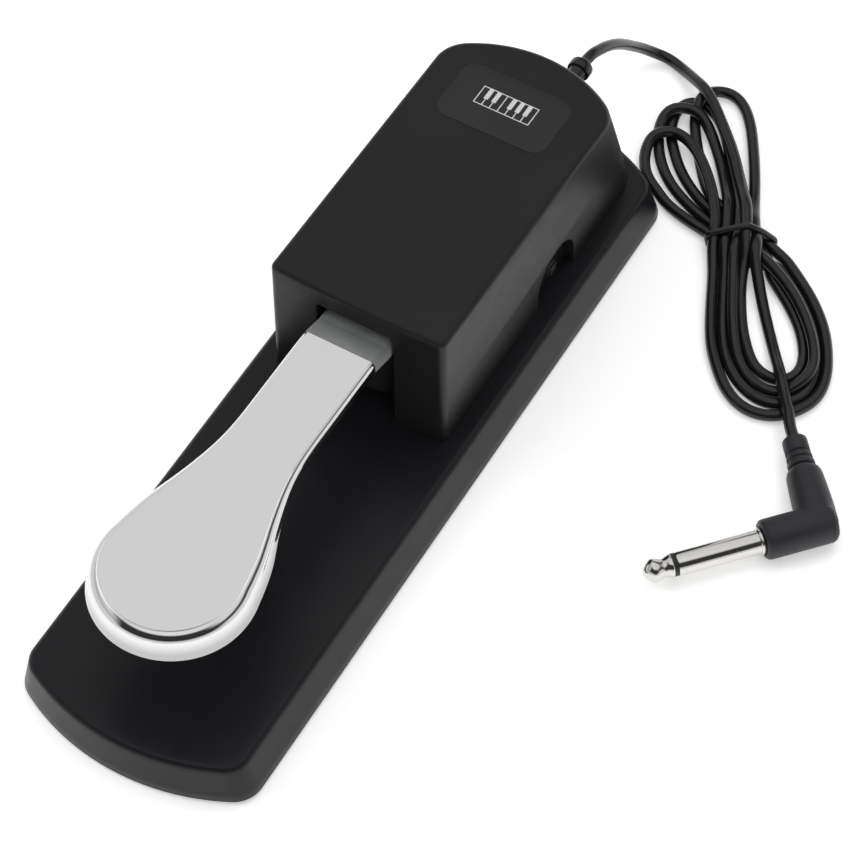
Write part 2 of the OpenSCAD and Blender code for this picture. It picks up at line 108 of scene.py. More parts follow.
def sharp_by_angle(obj, deg):
    me = obj.data
    bm = bmesh.new()
    bm.from_mesh(me)
    lim = math.radians(deg)
    for e in bm.edges:
        e.smooth = not (len(e.link_faces) == 2 and e.calc_face_angle(0) > lim)
    for f in bm.faces:
        f.smooth = True
    bm.to_mesh(me)
    bm.free()


def loft(name, rings, cap_low=True, cap_high=True, smooth=True):
    """Skin through closed rings of equal length, each counter-clockwise seen from above, lowest first."""
    n = len(rings[0])
    verts = [p for r in rings for p in r]
    faces = []
    for i in range(len(rings) - 1):
        for j in range(n):
            k = (j + 1) % n
            faces.append((i * n + j, i * n + k, (i + 1) * n + k, (i + 1) * n + j))
    if cap_low:
        faces.append(tuple(range(n - 1, -1, -1)))
    if cap_high:
        b = (len(rings) - 1) * n
        faces.append(tuple(range(b, b + n)))
    return mesh_obj(name, verts, faces, smooth)


def lathe(name, profile, seg=64, place=None, smooth_deg=40):
    """Profile of (radius, height) turned about Z; open ends close on the axis when the radius is 0."""
    verts, faces = [], []
    rows = []
    for r, z in profile:
        if r < 1e-6:
            rows.append([len(verts)])
            verts.append((0, 0, z))
        else:
            rows.append(list(range(len(verts), len(verts) + seg)))
            for j in range(seg):
                a = 2 * math.pi * j / seg
                verts.append((r * math.cos(a), r * math.sin(a), z))
    for a, b in zip(rows, rows[1:]):
        for j in range(seg):
            k = (j + 1) % seg
            if len(a) == 1 and len(b) == 1:
                continue
            if len(a) == 1:
                faces.append((a[0], b[k], b[j]))
            elif len(b) == 1:
                faces.append((a[j], a[k], b[0]))
            else:
                faces.append((a[j], a[k], b[k], b[j]))
    o = mesh_obj(name, verts, faces)
    if place is not None:
        o.data.transform(place)
    bm = bmesh.new()
    bm.from_mesh(o.data)
    bmesh.ops.recalc_face_normals(bm, faces=bm.faces)
    bm.to_mesh(o.data)
    bm.free()
    sharp_by_angle(o, smooth_deg)
    return o


def join(name, objs):
    """Merges meshes into the first one."""
    bm = bmesh.new()
    for o in objs:
        bm.from_mesh(o.data)
    for o in objs:
        bpy.data.objects.remove(o)
    return bm_obj(name, bm)


def half_plan(hw, y0, y1, rf, rr, cf, cr, n, m):
    yf, yr = y0 + rf, y1 - rr
    fx = hw - cf
    fy = yf - math.sqrt((rf - cf) ** 2 - fx * fx)
    rx = hw - cr
    ry = yr + math.sqrt((rr - cr) ** 2 - rx * rx)
    af, ar = math.atan2(fy - yf, fx), math.atan2(ry - yr, rx)
    pts = []
    for i in range(n + 1):
        a = -math.pi / 2 + (af + math.pi / 2) * i / n
        pts.append((rf * math.cos(a), yf + rf * math.sin(a)))
    for i in range(1, m + 1):
        a = af - af * i / m
        pts.append((fx + cf * math.cos(a), fy + cf * math.sin(a)))
    for i in range(m + 1):
        a = ar * i / m
        pts.append((rx + cr * math.cos(a), ry + cr * math.sin(a)))
    for i in range(1, n + 1):
        a = ar + (math.pi / 2 - ar) * i / n
        pts.append((rr * math.cos(a), yr + rr * math.sin(a)))
    return pts


def plan(hw, y0, y1, rf, rr, cf, cr, n=20, m=14):
    h = half_plan(hw, y0, y1, rf, rr, cf, cr, n, m)
    return h + [(-x, y) for x, y in h[-2:0:-1]]


def fillet(r, seg, inset0=0.0):
    """Quarter round from a wall to a top face: (inset, drop) pairs, wall first."""
    return [(inset0 + r * (1 - math.cos(a)), r * (1 - math.sin(a))) for a in [math.pi / 2 * i / seg for i in range(seg + 1)]]


# ------------------------------------------------------------------ materials
def new_mat(name):
    mat = bpy.data.materials.new(name)
    mat.use_nodes = True
    nt = mat.node_tree
    bsdf = nt.nodes["Principled BSDF"]
    return mat, nt, bsdf


def noise(nt, scale, detail=2.0, rough=0.5, coord="Object", stretch=None):
    tc = nt.nodes.new("ShaderNodeTexCoord")
    src = tc.outputs[coord]
    if stretch:
        mp = nt.nodes.new("ShaderNodeMapping")
        mp.inputs["Scale"].default_value = stretch
        nt.links.new(src, mp.inputs["Vector"])
        src = mp.outputs["Vector"]
    nz = nt.nodes.new("ShaderNodeTexNoise")
    nz.inputs["Scale"].default_value = scale
    nz.inputs["Detail"].default_value = detail
    nz.inputs["Roughness"].default_value = rough
    nt.links.new(src, nz.inputs["Vector"])
    return nz


def ramp(nt, src, stops):
    cr = nt.nodes.new("ShaderNodeValToRGB")
    el = cr.color_ramp.elements
    while len(el) < len(stops):
        el.new(0.5)
    for e, (p, c) in zip(el, stops):
        e.position = p
        e.color = c if len(c) == 4 else (*c, 1)
    nt.links.new(src, cr.inputs["Fac"])
    return cr


def grey_ramp(nt, src, p0, v0, p1, v1):
    mr = nt.nodes.new("ShaderNodeMapRange")
    mr.inputs["From Min"].default_value = p0
    mr.inputs["From Max"].default_value = p1
    mr.inputs["To Min"].default_value = v0
    mr.inputs["To Max"].default_value = v1
    nt.links.new(src, mr.inputs["Value"])
    return mr.outputs["Result"]


def bump(nt, bsdf, height, strength, distance, prev=None):
    b = nt.nodes.new("ShaderNodeBump")
    b.inputs["Strength"].default_value = strength
    b.inputs["Distance"].default_value = distance
    nt.links.new(height, b.inputs["Height"])
    if prev is not None:
        nt.links.new(prev.outputs["Normal"], b.inputs["Normal"])
    nt.links.new(b.outputs["Normal"], bsdf.inputs["Normal"])
    return b


def mat_plastic(name, col, col2, rough, rough2, grain=2600, grain_h=0.00002, grain_s=0.35, spec=0.35):
    """Moulded plastic: fine spark-eroded grain, a slow drift in tone and in gloss."""
    mat, nt, bs = new_mat(name)
    slow = noise(nt, 22, 3, 0.55)
    cr = ramp(nt, slow.outputs["Fac"], [(0.35, col), (0.68, col2)])
    nt.links.new(cr.outputs["Color"], bs.inputs["Base Color"])
    mid = noise(nt, 160, 4, 0.6)
    nt.links.new(grey_ramp(nt, mid.outputs["Fac"], 0.3, rough, 0.7, rough2), bs.inputs["Roughness"])
    fine = noise(nt, grain, 2, 0.5)
    b1 = bump(nt, bs, mid.outputs["Fac"], 0.12, 0.00006)
    bump(nt, bs, fine.outputs["Fac"], grain_s, grain_h, b1)
    bs.inputs["Specular IOR Level"].default_value = spec
    return mat


def mat_metal(name, col, rough, rough2, stretch=(1, 1, 1), scale=900, bump_h=0.0, tint=0.06):
    mat, nt, bs = new_mat(name)
    bs.inputs["Metallic"].default_value = 1.0
    nz = noise(nt, scale, 3, 0.6, stretch=stretch)
    lo = tuple(max(0, c * (1 - tint)) for c in col)
    cr = ramp(nt, nz.outputs["Fac"], [(0.3, lo), (0.7, col)])
    nt.links.new(cr.outputs["Color"], bs.inputs["Base Color"])
    nt.links.new(grey_ramp(nt, nz.outputs["Fac"], 0.3, rough, 0.7, rough2), bs.inputs["Roughness"])
    if bump_h:
        bump(nt, bs, nz.outputs["Fac"], 0.5, bump_h)
    return mat


M = {}
M["housing_plastic"] = mat_plastic("abs_black", (0.0095, 0.0095, 0.0100), (0.0118, 0.0118, 0.0124), 0.36, 0.42, spec=0.22)
M["base_plastic"] = mat_plastic("abs_black_base", (0.0068, 0.0071, 0.0088), (0.0092, 0.0095, 0.0115), 0.33, 0.40, spec=0.22)
M["label"] = mat_plastic("label_stock", (0.010, 0.010, 0.0105), (0.013, 0.013, 0.0138), 0.24, 0.30, 3000, 0.00001, 0.15)
M["lever_chrome"] = mat_metal("chrome_plate", (0.74, 0.74, 0.735), 0.05, 0.06, scale=1400, tint=0.01)


def painted_reflection_zone(mat):
    """The neck behind the stop line is painted grey, satin, a little mottled: a painted reflection standing in for the
    dim grey reflection the chrome shows there.
    """
    nt = mat.node_tree
    bs = next(n for n in nt.nodes if n.type == "BSDF_PRINCIPLED")
    out = next(n for n in nt.nodes if n.type == "OUTPUT_MATERIAL")
    tex = nt.nodes.new("ShaderNodeTexCoord")
    sp_ = nt.nodes.new("ShaderNodeSeparateXYZ")
    nt.links.new(tex.outputs["Object"], sp_.inputs["Vector"])
    # mask of the painted reflection zone: the neck behind y = -7.8 mm
    painted_reflection_mask = nt.nodes.new("ShaderNodeMapRange")
    painted_reflection_mask.inputs["From Min"].default_value = -0.0078
    painted_reflection_mask.inputs["From Max"].default_value = -0.0075
    nt.links.new(sp_.outputs["Y"], painted_reflection_mask.inputs["Value"])
    # painted reflection: a flat mottled grey put on the chrome neck where it reflects its dim surroundings
    b2 = nt.nodes.new("ShaderNodeBsdfPrincipled")
    blot = noise(nt, 140, 4, 0.6)
    cr_ = ramp(nt, blot.outputs["Fac"], [(0.3, (0.20, 0.215, 0.21)), (0.7, (0.27, 0.28, 0.275))])
    nt.links.new(cr_.outputs["Color"], b2.inputs["Base Color"])
    b2.inputs["Metallic"].default_value = 0.15
    b2.inputs["Roughness"].default_value = 0.55
    b2.inputs["Specular IOR Level"].default_value = 0.4
    # the turned-down edge is painted darker than the face, down to 0.62 of its colour at the lower part: painted dark
    # reflection on the rolled edge
    painted_edge_darkening = nt.nodes.new("ShaderNodeMapRange")
    painted_edge_darkening.inputs["From Min"].default_value = 0.0435
    painted_edge_darkening.inputs["From Max"].default_value = 0.0468
    painted_edge_darkening.inputs["To Min"].default_value = 0.62
    painted_edge_darkening.inputs["To Max"].default_value = 1.0
    nt.links.new(sp_.outputs["Z"], painted_edge_darkening.inputs["Value"])
    tint_ = nt.nodes.new("ShaderNodeVectorMath")
    tint_.operation = "SCALE"
    nt.links.new(bs.inputs["Base Color"].links[0].from_socket, tint_.inputs[0])
    nt.links.new(painted_edge_darkening.outputs["Result"], tint_.inputs["Scale"])
    nt.links.new(tint_.outputs["Vector"], bs.inputs["Base Color"])
    mx = nt.nodes.new("ShaderNodeMixShader")
    nt.links.new(painted_reflection_mask.outputs["Result"], mx.inputs["Fac"])
    nt.links.new(bs.outputs["BSDF"], mx.inputs[1])
    nt.links.new(b2.outputs["BSDF"], mx.inputs[2])
    nt.links.new(mx.outputs["Shader"], out.inputs["Surface"])


# the grey neck zone is a painted reflection, not a real change of finish
painted_reflection_zone(M["lever_chrome"])
M["plate_steel"] = mat_metal("zinc_plate", (0.50, 0.51, 0.52), 0.28, 0.42, stretch=(1, 0.12, 1), scale=500, bump_h=0.00001)
M["screw_steel"] = mat_metal("zinc_screw", (0.56, 0.56, 0.57), 0.22, 0.36, scale=900, bump_h=0.000008)
M["switch_steel"] = mat_metal("tinned_steel", (0.62, 0.62, 0.63), 0.2, 0.32, scale=800)
M["plug_nickel"] = mat_metal("nickel_plate", (0.70, 0.685, 0.66), 0.10, 0.17, scale=700, tint=0.05)
M["foot_rubber"] = mat_plastic("foot_rubber", (0.012, 0.012, 0.012), (0.018, 0.018, 0.018), 0.62, 0.75, 1800, 0.00003, 0.5, 0.3)
M["nylon"] = mat_plastic("natural_nylon", (0.66, 0.64, 0.58), (0.74, 0.72, 0.66), 0.42, 0.5, 1600, 0.00001, 0.2, 0.4)
M["felt"] = mat_plastic("wool_felt", (0.045, 0.045, 0.048), (0.075, 0.075, 0.08), 0.9, 1.0, 1400, 0.0002, 0.9, 0.1)
M["board"] = mat_plastic("solder_mask", (0.012, 0.085, 0.035), (0.018, 0.12, 0.05), 0.25, 0.34, 900, 0.00001, 0.2, 0.5)
M["switch_plastic"] = mat_plastic("black_nylon", (0.012, 0.012, 0.013), (0.017, 0.017, 0.018), 0.4, 0.5, 2000, 0.00001, 0.25, 0.4)
M["plunger_plastic"] = mat_plastic("red_acetal", (0.42, 0.03, 0.02), (0.5, 0.04, 0.03), 0.25, 0.33, 1500, 0.00001, 0.15, 0.5)
M["wire_pvc"] = mat_plastic("red_pvc", (0.40, 0.02, 0.015), (0.46, 0.03, 0.02), 0.3, 0.4, 1500, 0.00001, 0.15, 0.5)
M["cable_pvc"] = mat_plastic("cable_pvc", (0.0062, 0.0062, 0.0066), (0.0092, 0.0092, 0.0098), 0.20, 0.28, 1500, 0.00001, 0.15, 0.45)
M["boot_pvc"] = mat_plastic("boot_pvc", (0.015, 0.0142, 0.0185), (0.021, 0.020, 0.0255), 0.42, 0.52, 1700, 0.00002, 0.35, 0.4)


def paint(obj, mat):
    obj.data.materials.clear()
    obj.data.materials.append(mat)
    if obj.type == "MESH":
        obj.data.polygons.foreach_set("material_index", [0] * len(obj.data.polygons))


def dress(obj, key, body="base", replaces=()):
    paint(obj, M[key])
    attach(obj, body)
    if replaces:
        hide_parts(*replaces)
    return obj


# CAD nodes that stay: their own finish
slot_of = {s["node"]: s["material_slot"] for s in REC["subparts"]}
for name, obj in frame["nodes"].items():
    key = slot_of.get(name, "plate_steel")
    if obj.material_slots:
        for ms in obj.material_slots:
            ms.material = M[key]
    else:
        obj.data.materials.append(M[key])

# ------------------------------------------------------------------ lead: one cord from strain relief to plug
CORD_R = 1.6
PLUG_C = np.array([116.2, 30.6, 5.4])
NECK_C = np.array([117, 31.5, 5.4])
PLUG_A = math.radians(228)
BOOT_A = math.radians(130)

# Passes of the hank in the order the lead runs: far lobe, crossing, near lobe
LEAD_DOWN = [(0, 117, 28), (0, 120, 28), (0.2, 123.6, 27.6), (0.7, 128.4, 25.6), (1.2, 133.8, 22.2), (1.8, 139.1, 17.6), (2.5, 144.4, 12), (3.6, 148.6, 7.6), (5.6, 151.4, 4.4), (8.6, 153, 2.4), (12, 152.7, 1.9), (15.2, 151.4, 2.9), (18, 149.8, 4.4)]
LEAD_OVER = [(20.8, 147.8, 6), (25.8, 144.5, 7.4), (30.7, 141.2, 7.4), (35.5, 137, 7.4), (40.9, 131.5, 7.4), (46.6, 124.3, 7.6), (52, 116.6, 7.7), (55.6, 111.1, 7.7), (58.1, 106.1, 7.7)]
FAR = [
    [(58.9, 104, 6.2), (60, 101.2, 4), (61.4, 97.4, 2), (63.9, 91.9, 1.6), (66.6, 86.2, 1.6), (69.7, 80.3, 1.6), (72.8, 75.4, 1.6), (76.5, 71.4, 1.6), (80.7, 68.7, 1.6), (85.1, 68.2, 1.6), (88.7, 69.3, 1.6), (90.9, 72.3, 1.6), (90.9, 76.5, 1.6), (89, 81, 1.6), (85.8, 85.8, 1.6), (81.9, 90, 1.6), (77.7, 93.6, 1.6), (73.5, 96.5, 1.6), (69.9, 98.8, 1.6)],
    [(57.2, 103.2, 6), (59.1, 98.6, 4.6), (62.3, 91.1, 4.2), (65.8, 83.4, 4.2), (69.2, 76.8, 4.2), (72.6, 71.3, 4), (76.6, 67.1, 3.4), (81.1, 64.9, 2.2), (85.9, 64.2, 1.6), (89.8, 65.3, 1.6), (92.8, 68, 1.6), (94.7, 71.5, 2.4), (94.4, 75.5, 3.6), (92.3, 79.9, 4.2), (89.2, 84.7, 4.2), (85.3, 89.1, 4.2), (80.9, 93.2, 4.2), (76, 96.6, 4.2), (70.8, 99.5, 4.2)],
    [(54.4, 102.6, 4.8), (56.2, 98.4, 3), (59.3, 91.6, 1.6), (62.8, 83.9, 1.6), (66.5, 76.5, 1.6), (70, 70.9, 1.6), (74.4, 65.9, 1.6), (79.4, 62.3, 1.6), (84.6, 60.4, 1.6), (89.1, 61, 1.6), (92.9, 63.5, 1.6), (95.6, 67.6, 1.6), (95.9, 72.9, 1.6), (94.1, 77.9, 1.6), (91.7, 82.6, 1.6), (88, 88.1, 1.6), (83.6, 92.7, 1.6), (78.6, 97.1, 1.6), (73.9, 100.3, 1.6), (69.4, 101.9, 1.6)],
    [(52.2, 101.4, 4.8), (54.1, 97.1, 3), (57.1, 90.4, 1.6), (60.7, 82.7, 1.6), (64.5, 75.3, 1.6), (68, 68.8, 1.6), (72.2, 63.2, 1.6), (77.1, 58.6, 1.6), (82.4, 56.1, 1.6), (87.2, 56, 1.6), (91.4, 57.9, 1.6), (94.8, 61.1, 1.6), (97, 65.8, 1.6), (97.8, 71.6, 1.6), (96.7, 78, 1.6), (94, 84, 1.6), (90.6, 89.6, 1.6), (86, 94.6, 1.6), (80.7, 99.3, 1.6), (75.3, 102.9, 1.6), (69.9, 105.9, 1.6), (65.3, 107.9, 1.6)],
]
CROSS = [
    [(63.6, 104.5, 1.6), (59.4, 106, 1.6), (55.2, 107.5, 1.6), (51.2, 108.7, 1.6), (47.2, 109.6, 1.6)],
    [(64.3, 100.7, 4.3), (60.1, 102.2, 4.3), (55.9, 103.7, 4.3), (51.9, 104.8, 4.3), (48, 105.8, 4.3)],
    [(64.1, 102, 1.6), (59.4, 102.8, 1.6), (55, 103.8, 1.6), (51, 104.8, 1.6), (47.1, 105.7, 1.6)],
    [(63.8, 108.4, 1.6), (59.6, 109.9, 1.6), (55.4, 111.4, 1.6), (51.3, 112.6, 1.6), (47.4, 113.6, 1.6)],
]
NEAR = [
    [(43.4, 111.2, 1.6), (38, 114.1, 1.6), (33.1, 117.4, 1.6), (28.6, 121.9, 1.6), (24.8, 127, 1.6), (21.4, 131.6, 1.6), (19.9, 136.6, 1.6), (20.6, 141.1, 1.6), (23.8, 144, 1.6), (28.3, 143.9, 1.8), (32.6, 141.2, 2.4), (36.7, 136.9, 3.2), (40.8, 130.9, 4), (45.4, 125, 4.4), (49.9, 118.1, 4.7), (53.4, 112, 4.8), (55.9, 107.4, 4.9)],
    [(43.6, 107.4, 3.6), (38.2, 109.7, 3.2), (32.8, 112.3, 3), (28.5, 115.4, 3), (24.6, 119.8, 3), (21.3, 124.4, 3.2), (19, 128.7, 3.6), (18.3, 133, 4), (19.9, 137, 4.3), (23.5, 139, 4.3), (27.9, 138.6, 4.4), (32, 136.4, 4.4), (35.7, 132.1, 4.5), (39.7, 127.7, 4.6), (43.7, 122.2, 4.7), (47.8, 115.8, 4.8), (50.8, 110.4, 4.9), (53.3, 105.8, 5)],
    [(45.6, 103.9, 1.6), (40.5, 104.9, 1.7), (35.2, 106.1, 1.9), (30.3, 107.6, 2.6), (26, 110.4, 3.6), (22.4, 114.8, 4.2), (19.8, 119.2, 4.8), (19.1, 123.6, 5.6), (20.7, 127.4, 6.6), (24.3, 129.3, 7), (28.4, 129, 7.2), (32, 127.1, 7.2), (35.4, 123.7, 7.2), (39.4, 119.8, 7.2), (43, 115.5, 7), (46.1, 111.4, 6.4), (48.7, 107.6, 5.6), (50.7, 104.1, 5.2)],
    [(43.7, 113.4, 1.6), (39.9, 117.8, 1.6), (35.8, 123.1, 1.6), (31.8, 128.5, 1.6), (28.6, 133.4, 1.6), (26, 138, 1.6), (24.5, 142, 2), (24.5, 146, 2.2), (26.3, 150, 1.8), (29.7, 152, 1.6), (33.6, 151.1, 1.6), (37.2, 148.2, 1.6), (41, 143.6, 1.6), (44.7, 137.4, 1.8), (49, 130, 2.4), (53.1, 122, 3.6), (56.4, 114.4, 4.7), (58.5, 109.5, 4.8)],
]
TAIL = [(61.5, 103.7, 8.2), (64.8, 99.1, 8), (69.5, 92.6, 7.4), (74.5, 86.2, 6.8), (79.7, 79.6, 6.2), (84.6, 73.1, 5.8), (89.2, 66.6, 5.6)]
route = LEAD_DOWN + LEAD_OVER
for i in range(4):
    route += FAR[i] + CROSS[i] + NEAR[i]
route += TAIL
relief_end = NECK_C + 26.6 * np.array([math.cos(BOOT_A), math.sin(BOOT_A), 0])
bdir = np.array([math.cos(BOOT_A), math.sin(BOOT_A), 0])
route += [tuple(relief_end + bdir * 9.5 + np.array([0.5, 0.5, 0])), tuple(relief_end + bdir * 4.5), tuple(relief_end), tuple(relief_end - bdir * 3)]


def catmull(points, step):
    """Resamples a route at a fixed spacing along a centripetal Catmull-Rom curve."""
    p = np.array(points, float)
    p = np.vstack([2 * p[0] - p[1], p, 2 * p[-1] - p[-2]])
    out = []
    for i in range(1, len(p) - 2):
        p0, p1, p2, p3 = p[i - 1], p[i], p[i + 1], p[i + 2]
        t0 = 0.0
        t1 = t0 + max(np.linalg.norm(p1 - p0), 1e-6) ** 0.5
        t2 = t1 + max(np.linalg.norm(p2 - p1), 1e-6) ** 0.5
        t3 = t2 + max(np.linalg.norm(p3 - p2), 1e-6) ** 0.5
        for t in np.linspace(t1, t2, 17)[:-1]:
            a1 = (t1 - t) / (t1 - t0) * p0 + (t - t0) / (t1 - t0) * p1
            a2 = (t2 - t) / (t2 - t1) * p1 + (t - t1) / (t2 - t1) * p2
            a3 = (t3 - t) / (t3 - t2) * p2 + (t - t2) / (t3 - t2) * p3
            b1 = (t2 - t) / (t2 - t0) * a1 + (t - t0) / (t2 - t0) * a2
            b2 = (t3 - t) / (t3 - t1) * a2 + (t - t1) / (t3 - t1) * a3
            out.append((t2 - t) / (t2 - t1) * b1 + (t - t1) / (t2 - t1) * b2)
    out.append(p[-2])
    out = np.array(out)
    seg = np.linalg.norm(np.diff(out, axis=0), axis=1)
    s = np.r_[0, np.cumsum(seg)]
    n = int(round(s[-1] / step))
    q = np.linspace(0, s[-1], n + 1)
    return np.stack([np.interp(q, s, out[:, k]) for k in range(3)], 1)


BASE_PLAN = np.array(plan(34.0, -116, 116, 63.7, 53, 8, 8))


def push_out_of_base(p, gap):
    """Keeps the lead's axis a gap away from the base's upright walls."""
    a = BASE_PLAN
    b = np.roll(a, -1, axis=0)
    d = b - a
    n = np.stack([d[:, 1], -d[:, 0]], 1)
    n /= np.linalg.norm(n, axis=1)[:, None]
    near = np.where((p[:, 2] < 14 + gap) & (p[:, 1] > 60) & (p[:, 0] < 48))[0]
    for i in near:
        rel = p[i, :2] - a
        t = np.clip((rel * d).sum(1) / (d * d).sum(1), 0, 1)
        c = a + t[:, None] * d
        v = p[i, :2] - c
        dist = np.hypot(v[:, 0], v[:, 1])
        k = int(dist.argmin())
        sgn = (rel[k] * n[k]).sum()
        if sgn > 0 and dist[k] < gap:
            p[i, :2] = c[k] + v[k] / max(dist[k], 1e-6) * gap
        elif sgn <= 0:
            p[i, :2] = c[k] + n[k] * gap


def settle(points, iters, n_hang, n_lay):
    """Lets the lead fall and stack: fixed segment length, a turn never inside another, nothing under the floor."""
    p = points.copy()
    rest0 = points.copy()
    n = len(p)
    seg = np.linalg.norm(np.diff(p, axis=0), axis=1).mean()
    d = 2 * CORD_R
    skip = int(math.ceil(d * 1.7 / seg))
    fixed = np.zeros(n, bool)
    fixed[:n_hang] = True
    fixed[-6:] = True
    idx = np.arange(n)
    for it in range(iters):
        if it % 6 == 0:
            diff = p[:, None, :] - p[None, :, :]
            dist = np.sqrt((diff ** 2).sum(2))
            ii, jj = np.where((dist < d * 1.9) & (idx[None, :] - idx[:, None] > skip))
        grav = 0.05 if it < iters * 0.75 else 0.012
        p[~fixed, 2] -= grav
        # the shape it was wound in
        k = 0.12 if it < iters * 0.8 else 0.03
        p[:, :2] += np.where(fixed[:, None], 0, k * (rest0[:, :2] - p[:, :2]))
        # bending
        lap = 0.5 * (p[:-2] + p[2:]) - p[1:-1]
        w = np.where(fixed[1:-1], 0, 0.17)
        p[1:-1] += w[:, None] * lap
        for _ in range(2):
            v = p[1:] - p[:-1]
            l = np.linalg.norm(v, axis=1)
            c = ((l - seg) / np.maximum(l, 1e-9) * 0.5)[:, None] * v
            wa = np.where(fixed[:-1], 0, 1)[:, None]
            wb = np.where(fixed[1:], 0, 1)[:, None]
            p[:-1] += c * wa * 0.8
            p[1:] -= c * wb * 0.8
        for _ in range(2 if it < iters * 0.8 else 4):
            v = p[ii] - p[jj]
            l = np.linalg.norm(v, axis=1)
            hit = l < d
            if hit.any():
                a, b = ii[hit], jj[hit]
                vv = v[hit]
                ll = l[hit]
                flat = ll < 0.3
                vv[flat] = [0, 0, 1]
                ll[flat] = 1
                corr = ((d - l[hit]) / ll * 0.42)[:, None] * vv
                acc = np.zeros_like(p)
                cnt = np.zeros(n)
                np.add.at(acc, a, corr)
                np.add.at(acc, b, -corr)
                np.add.at(cnt, a, 1)
                np.add.at(cnt, b, 1)
                acc /= np.maximum(cnt, 1)[:, None] ** 0.5
                acc[fixed] = 0
                p += acc
        p[:n_lay, :2] = rest0[:n_lay, :2]
        free_floor = np.where(fixed, p[:, 2], np.maximum(p[:, 2], CORD_R + 0.05))
        p[:, 2] = free_floor
        push_out_of_base(p, CORD_R + 0.5)
    return p


cord_pts = catmull(route, 2.4)
hang_end = int(np.argmin(np.linalg.norm(cord_pts[:60] - np.array([9.6, 153.2, 2.2]), axis=1)))
lay_end = int(np.argmin(np.linalg.norm(cord_pts[:60] - np.array([33, 139.2, 7.4]), axis=1)))
cord_pts = settle(cord_pts, 420, hang_end, lay_end)
# even out the last jitter
for _ in range(2):
    cord_pts[4:-6] += 0.3 * (0.5 * (cord_pts[3:-7] + cord_pts[5:-5]) - cord_pts[4:-6])
start = int(np.argmin(np.abs(cord_pts[:40, 1] - 119.5)))
cord_pts = cord_pts[start:]

cu = bpy.data.curves.new("lead", "CURVE")
cu.dimensions = "3D"
cu.bevel_depth = CORD_R * MM
cu.bevel_resolution = 7
cu.resolution_u = 3
cu.use_fill_caps = True
sp = cu.splines.new("BEZIER")
sp.bezier_points.add(len(cord_pts) - 1)
for bp, q in zip(sp.bezier_points, cord_pts):
    bp.co = Vector(q) * MM
    bp.handle_left_type = bp.handle_right_type = "AUTO"
lead_obj = link(bpy.data.objects.new("lead", cu))
paint(lead_obj, M["cable_pvc"])

# ------------------------------------------------------------------ tie round the hank
tie_c = np.array([57.2, 105.4])
tie_dir = np.array([0.863, 0.506])
near = cord_pts[(np.abs((cord_pts[:, :2] - tie_c) @ np.array([0.506, -0.863])) < 1.6) & (np.abs((cord_pts[:, :2] - tie_c) @ tie_dir) < 14)]
uu = (near[:, :2] - tie_c) @ tie_dir
zz = near[:, 2]
u0, u1, z1 = uu.min() - CORD_R, uu.max() + CORD_R, zz.max() + CORD_R
tie_pts = []
N_T = 72
for k in range(N_T):
    a = 2 * math.pi * k / N_T
    ca, sa = math.cos(a), math.sin(a)
    # farthest strand edge in this direction from the bundle's middle
    reach = max((uu - (u0 + u1) / 2) * ca + (zz - z1 / 2) * sa) + CORD_R + 0.35
    tie_pts.append((ca, sa, reach))
hull = []
for k in range(N_T):
    c0, s0, r0 = tie_pts[k]
    c1, s1, r1 = tie_pts[(k + 1) % N_T]
    det = c0 * s1 - s0 * c1
    hull.append(((r0 * s1 - r1 * s0) / det, (c0 * r1 - c1 * r0) / det))
tie_line = []
for x, z in hull:
    q = tie_c + tie_dir * (x + (u0 + u1) / 2)
    tie_line.append((q[0], q[1], max(z + z1 / 2, 0.45)))
tl = np.array(tie_line)
n_t = len(tl)
t_dir = np.roll(tl, -1, axis=0) - np.roll(tl, 1, axis=0)
t_dir /= np.linalg.norm(t_dir, axis=1)[:, None]
t_side = np.array([0.506, -0.863, 0.0])
verts, faces = [], []
M_T = 16
for i in range(n_t):
    up = np.cross(t_side, t_dir[i])
    for j in range(M_T):
        a = 2 * math.pi * j / M_T
        # a slightly flattened band
        verts.append(tuple(tl[i] + 0.92 * math.cos(a) * t_side + 0.62 * math.sin(a) * up))
for i in range(n_t):
    for j in range(M_T):
        k, l = (i + 1) % n_t, (j + 1) % M_T
        faces.append((i * M_T + j, k * M_T + j, k * M_T + l, i * M_T + l))
tie_obj = mesh_obj("hank_tie_band", verts, faces)
bm = bmesh.new()
bm.from_mesh(tie_obj.data)
bmesh.ops.recalc_face_normals(bm, faces=bm.faces)
bm.to_mesh(tie_obj.data)
bm.free()

# ------------------------------------------------------------------ plug
def frame_along(origin, ang):
    """Matrix taking local Z to the flat direction ang, placed at origin (mm)."""
    return Matrix.Translation(Vector(origin) * MM) @ Matrix.Rotation(ang, 4, "Z") @ Matrix.Rotation(math.pi / 2, 4, "Y")


MP = frame_along(PLUG_C, PLUG_A)
MB = frame_along(NECK_C, BOOT_A)
sleeve = lathe("plug_sleeve_skin", [(0, 6.2), (2.5, 6.2), (2.5, 14.0), (3.5, 14.02), (3.6, 14.2), (3.6, 15.0), (3.45, 15.2), (3.175, 15.25), (3.175, 36.9), (3.05, 37.18), (0, 37.19)], 96, MP, 30)
ring = lathe("plug_ring_skin", [(0, 37.2), (2.9, 37.2), (3.0, 37.3), (3.0, 38.32), (2.9, 38.42), (0, 38.42)], 96, MP, 30)
tip = lathe("plug_tip_skin", [(0, 38.44), (3.02, 38.44), (3.12, 38.6), (3.08, 38.95), (2.72, 39.75), (2.46, 40.3), (2.38, 40.65), (2.46, 41.0), (2.78, 41.8), (3.08, 42.7), (3.16, 43.25), (3.1, 43.75), (2.8, 44.3), (2.1, 45.1), (1.35, 45.75), (0.8, 46.02), (0, 46.1)], 96, MP, 50)
body = lathe("boot_a", [(0, -5.5), (3.4, -5.5), (4.3, -5.3), (4.95, -4.7), (5.3, -3.8), (5.3, 12.6), (5.15, 13.4), (4.7, 13.9), (4.2, 14.0), (3.75, 13.98), (3.7, 13.2), (0, 13.2)], 72, MP, 50)
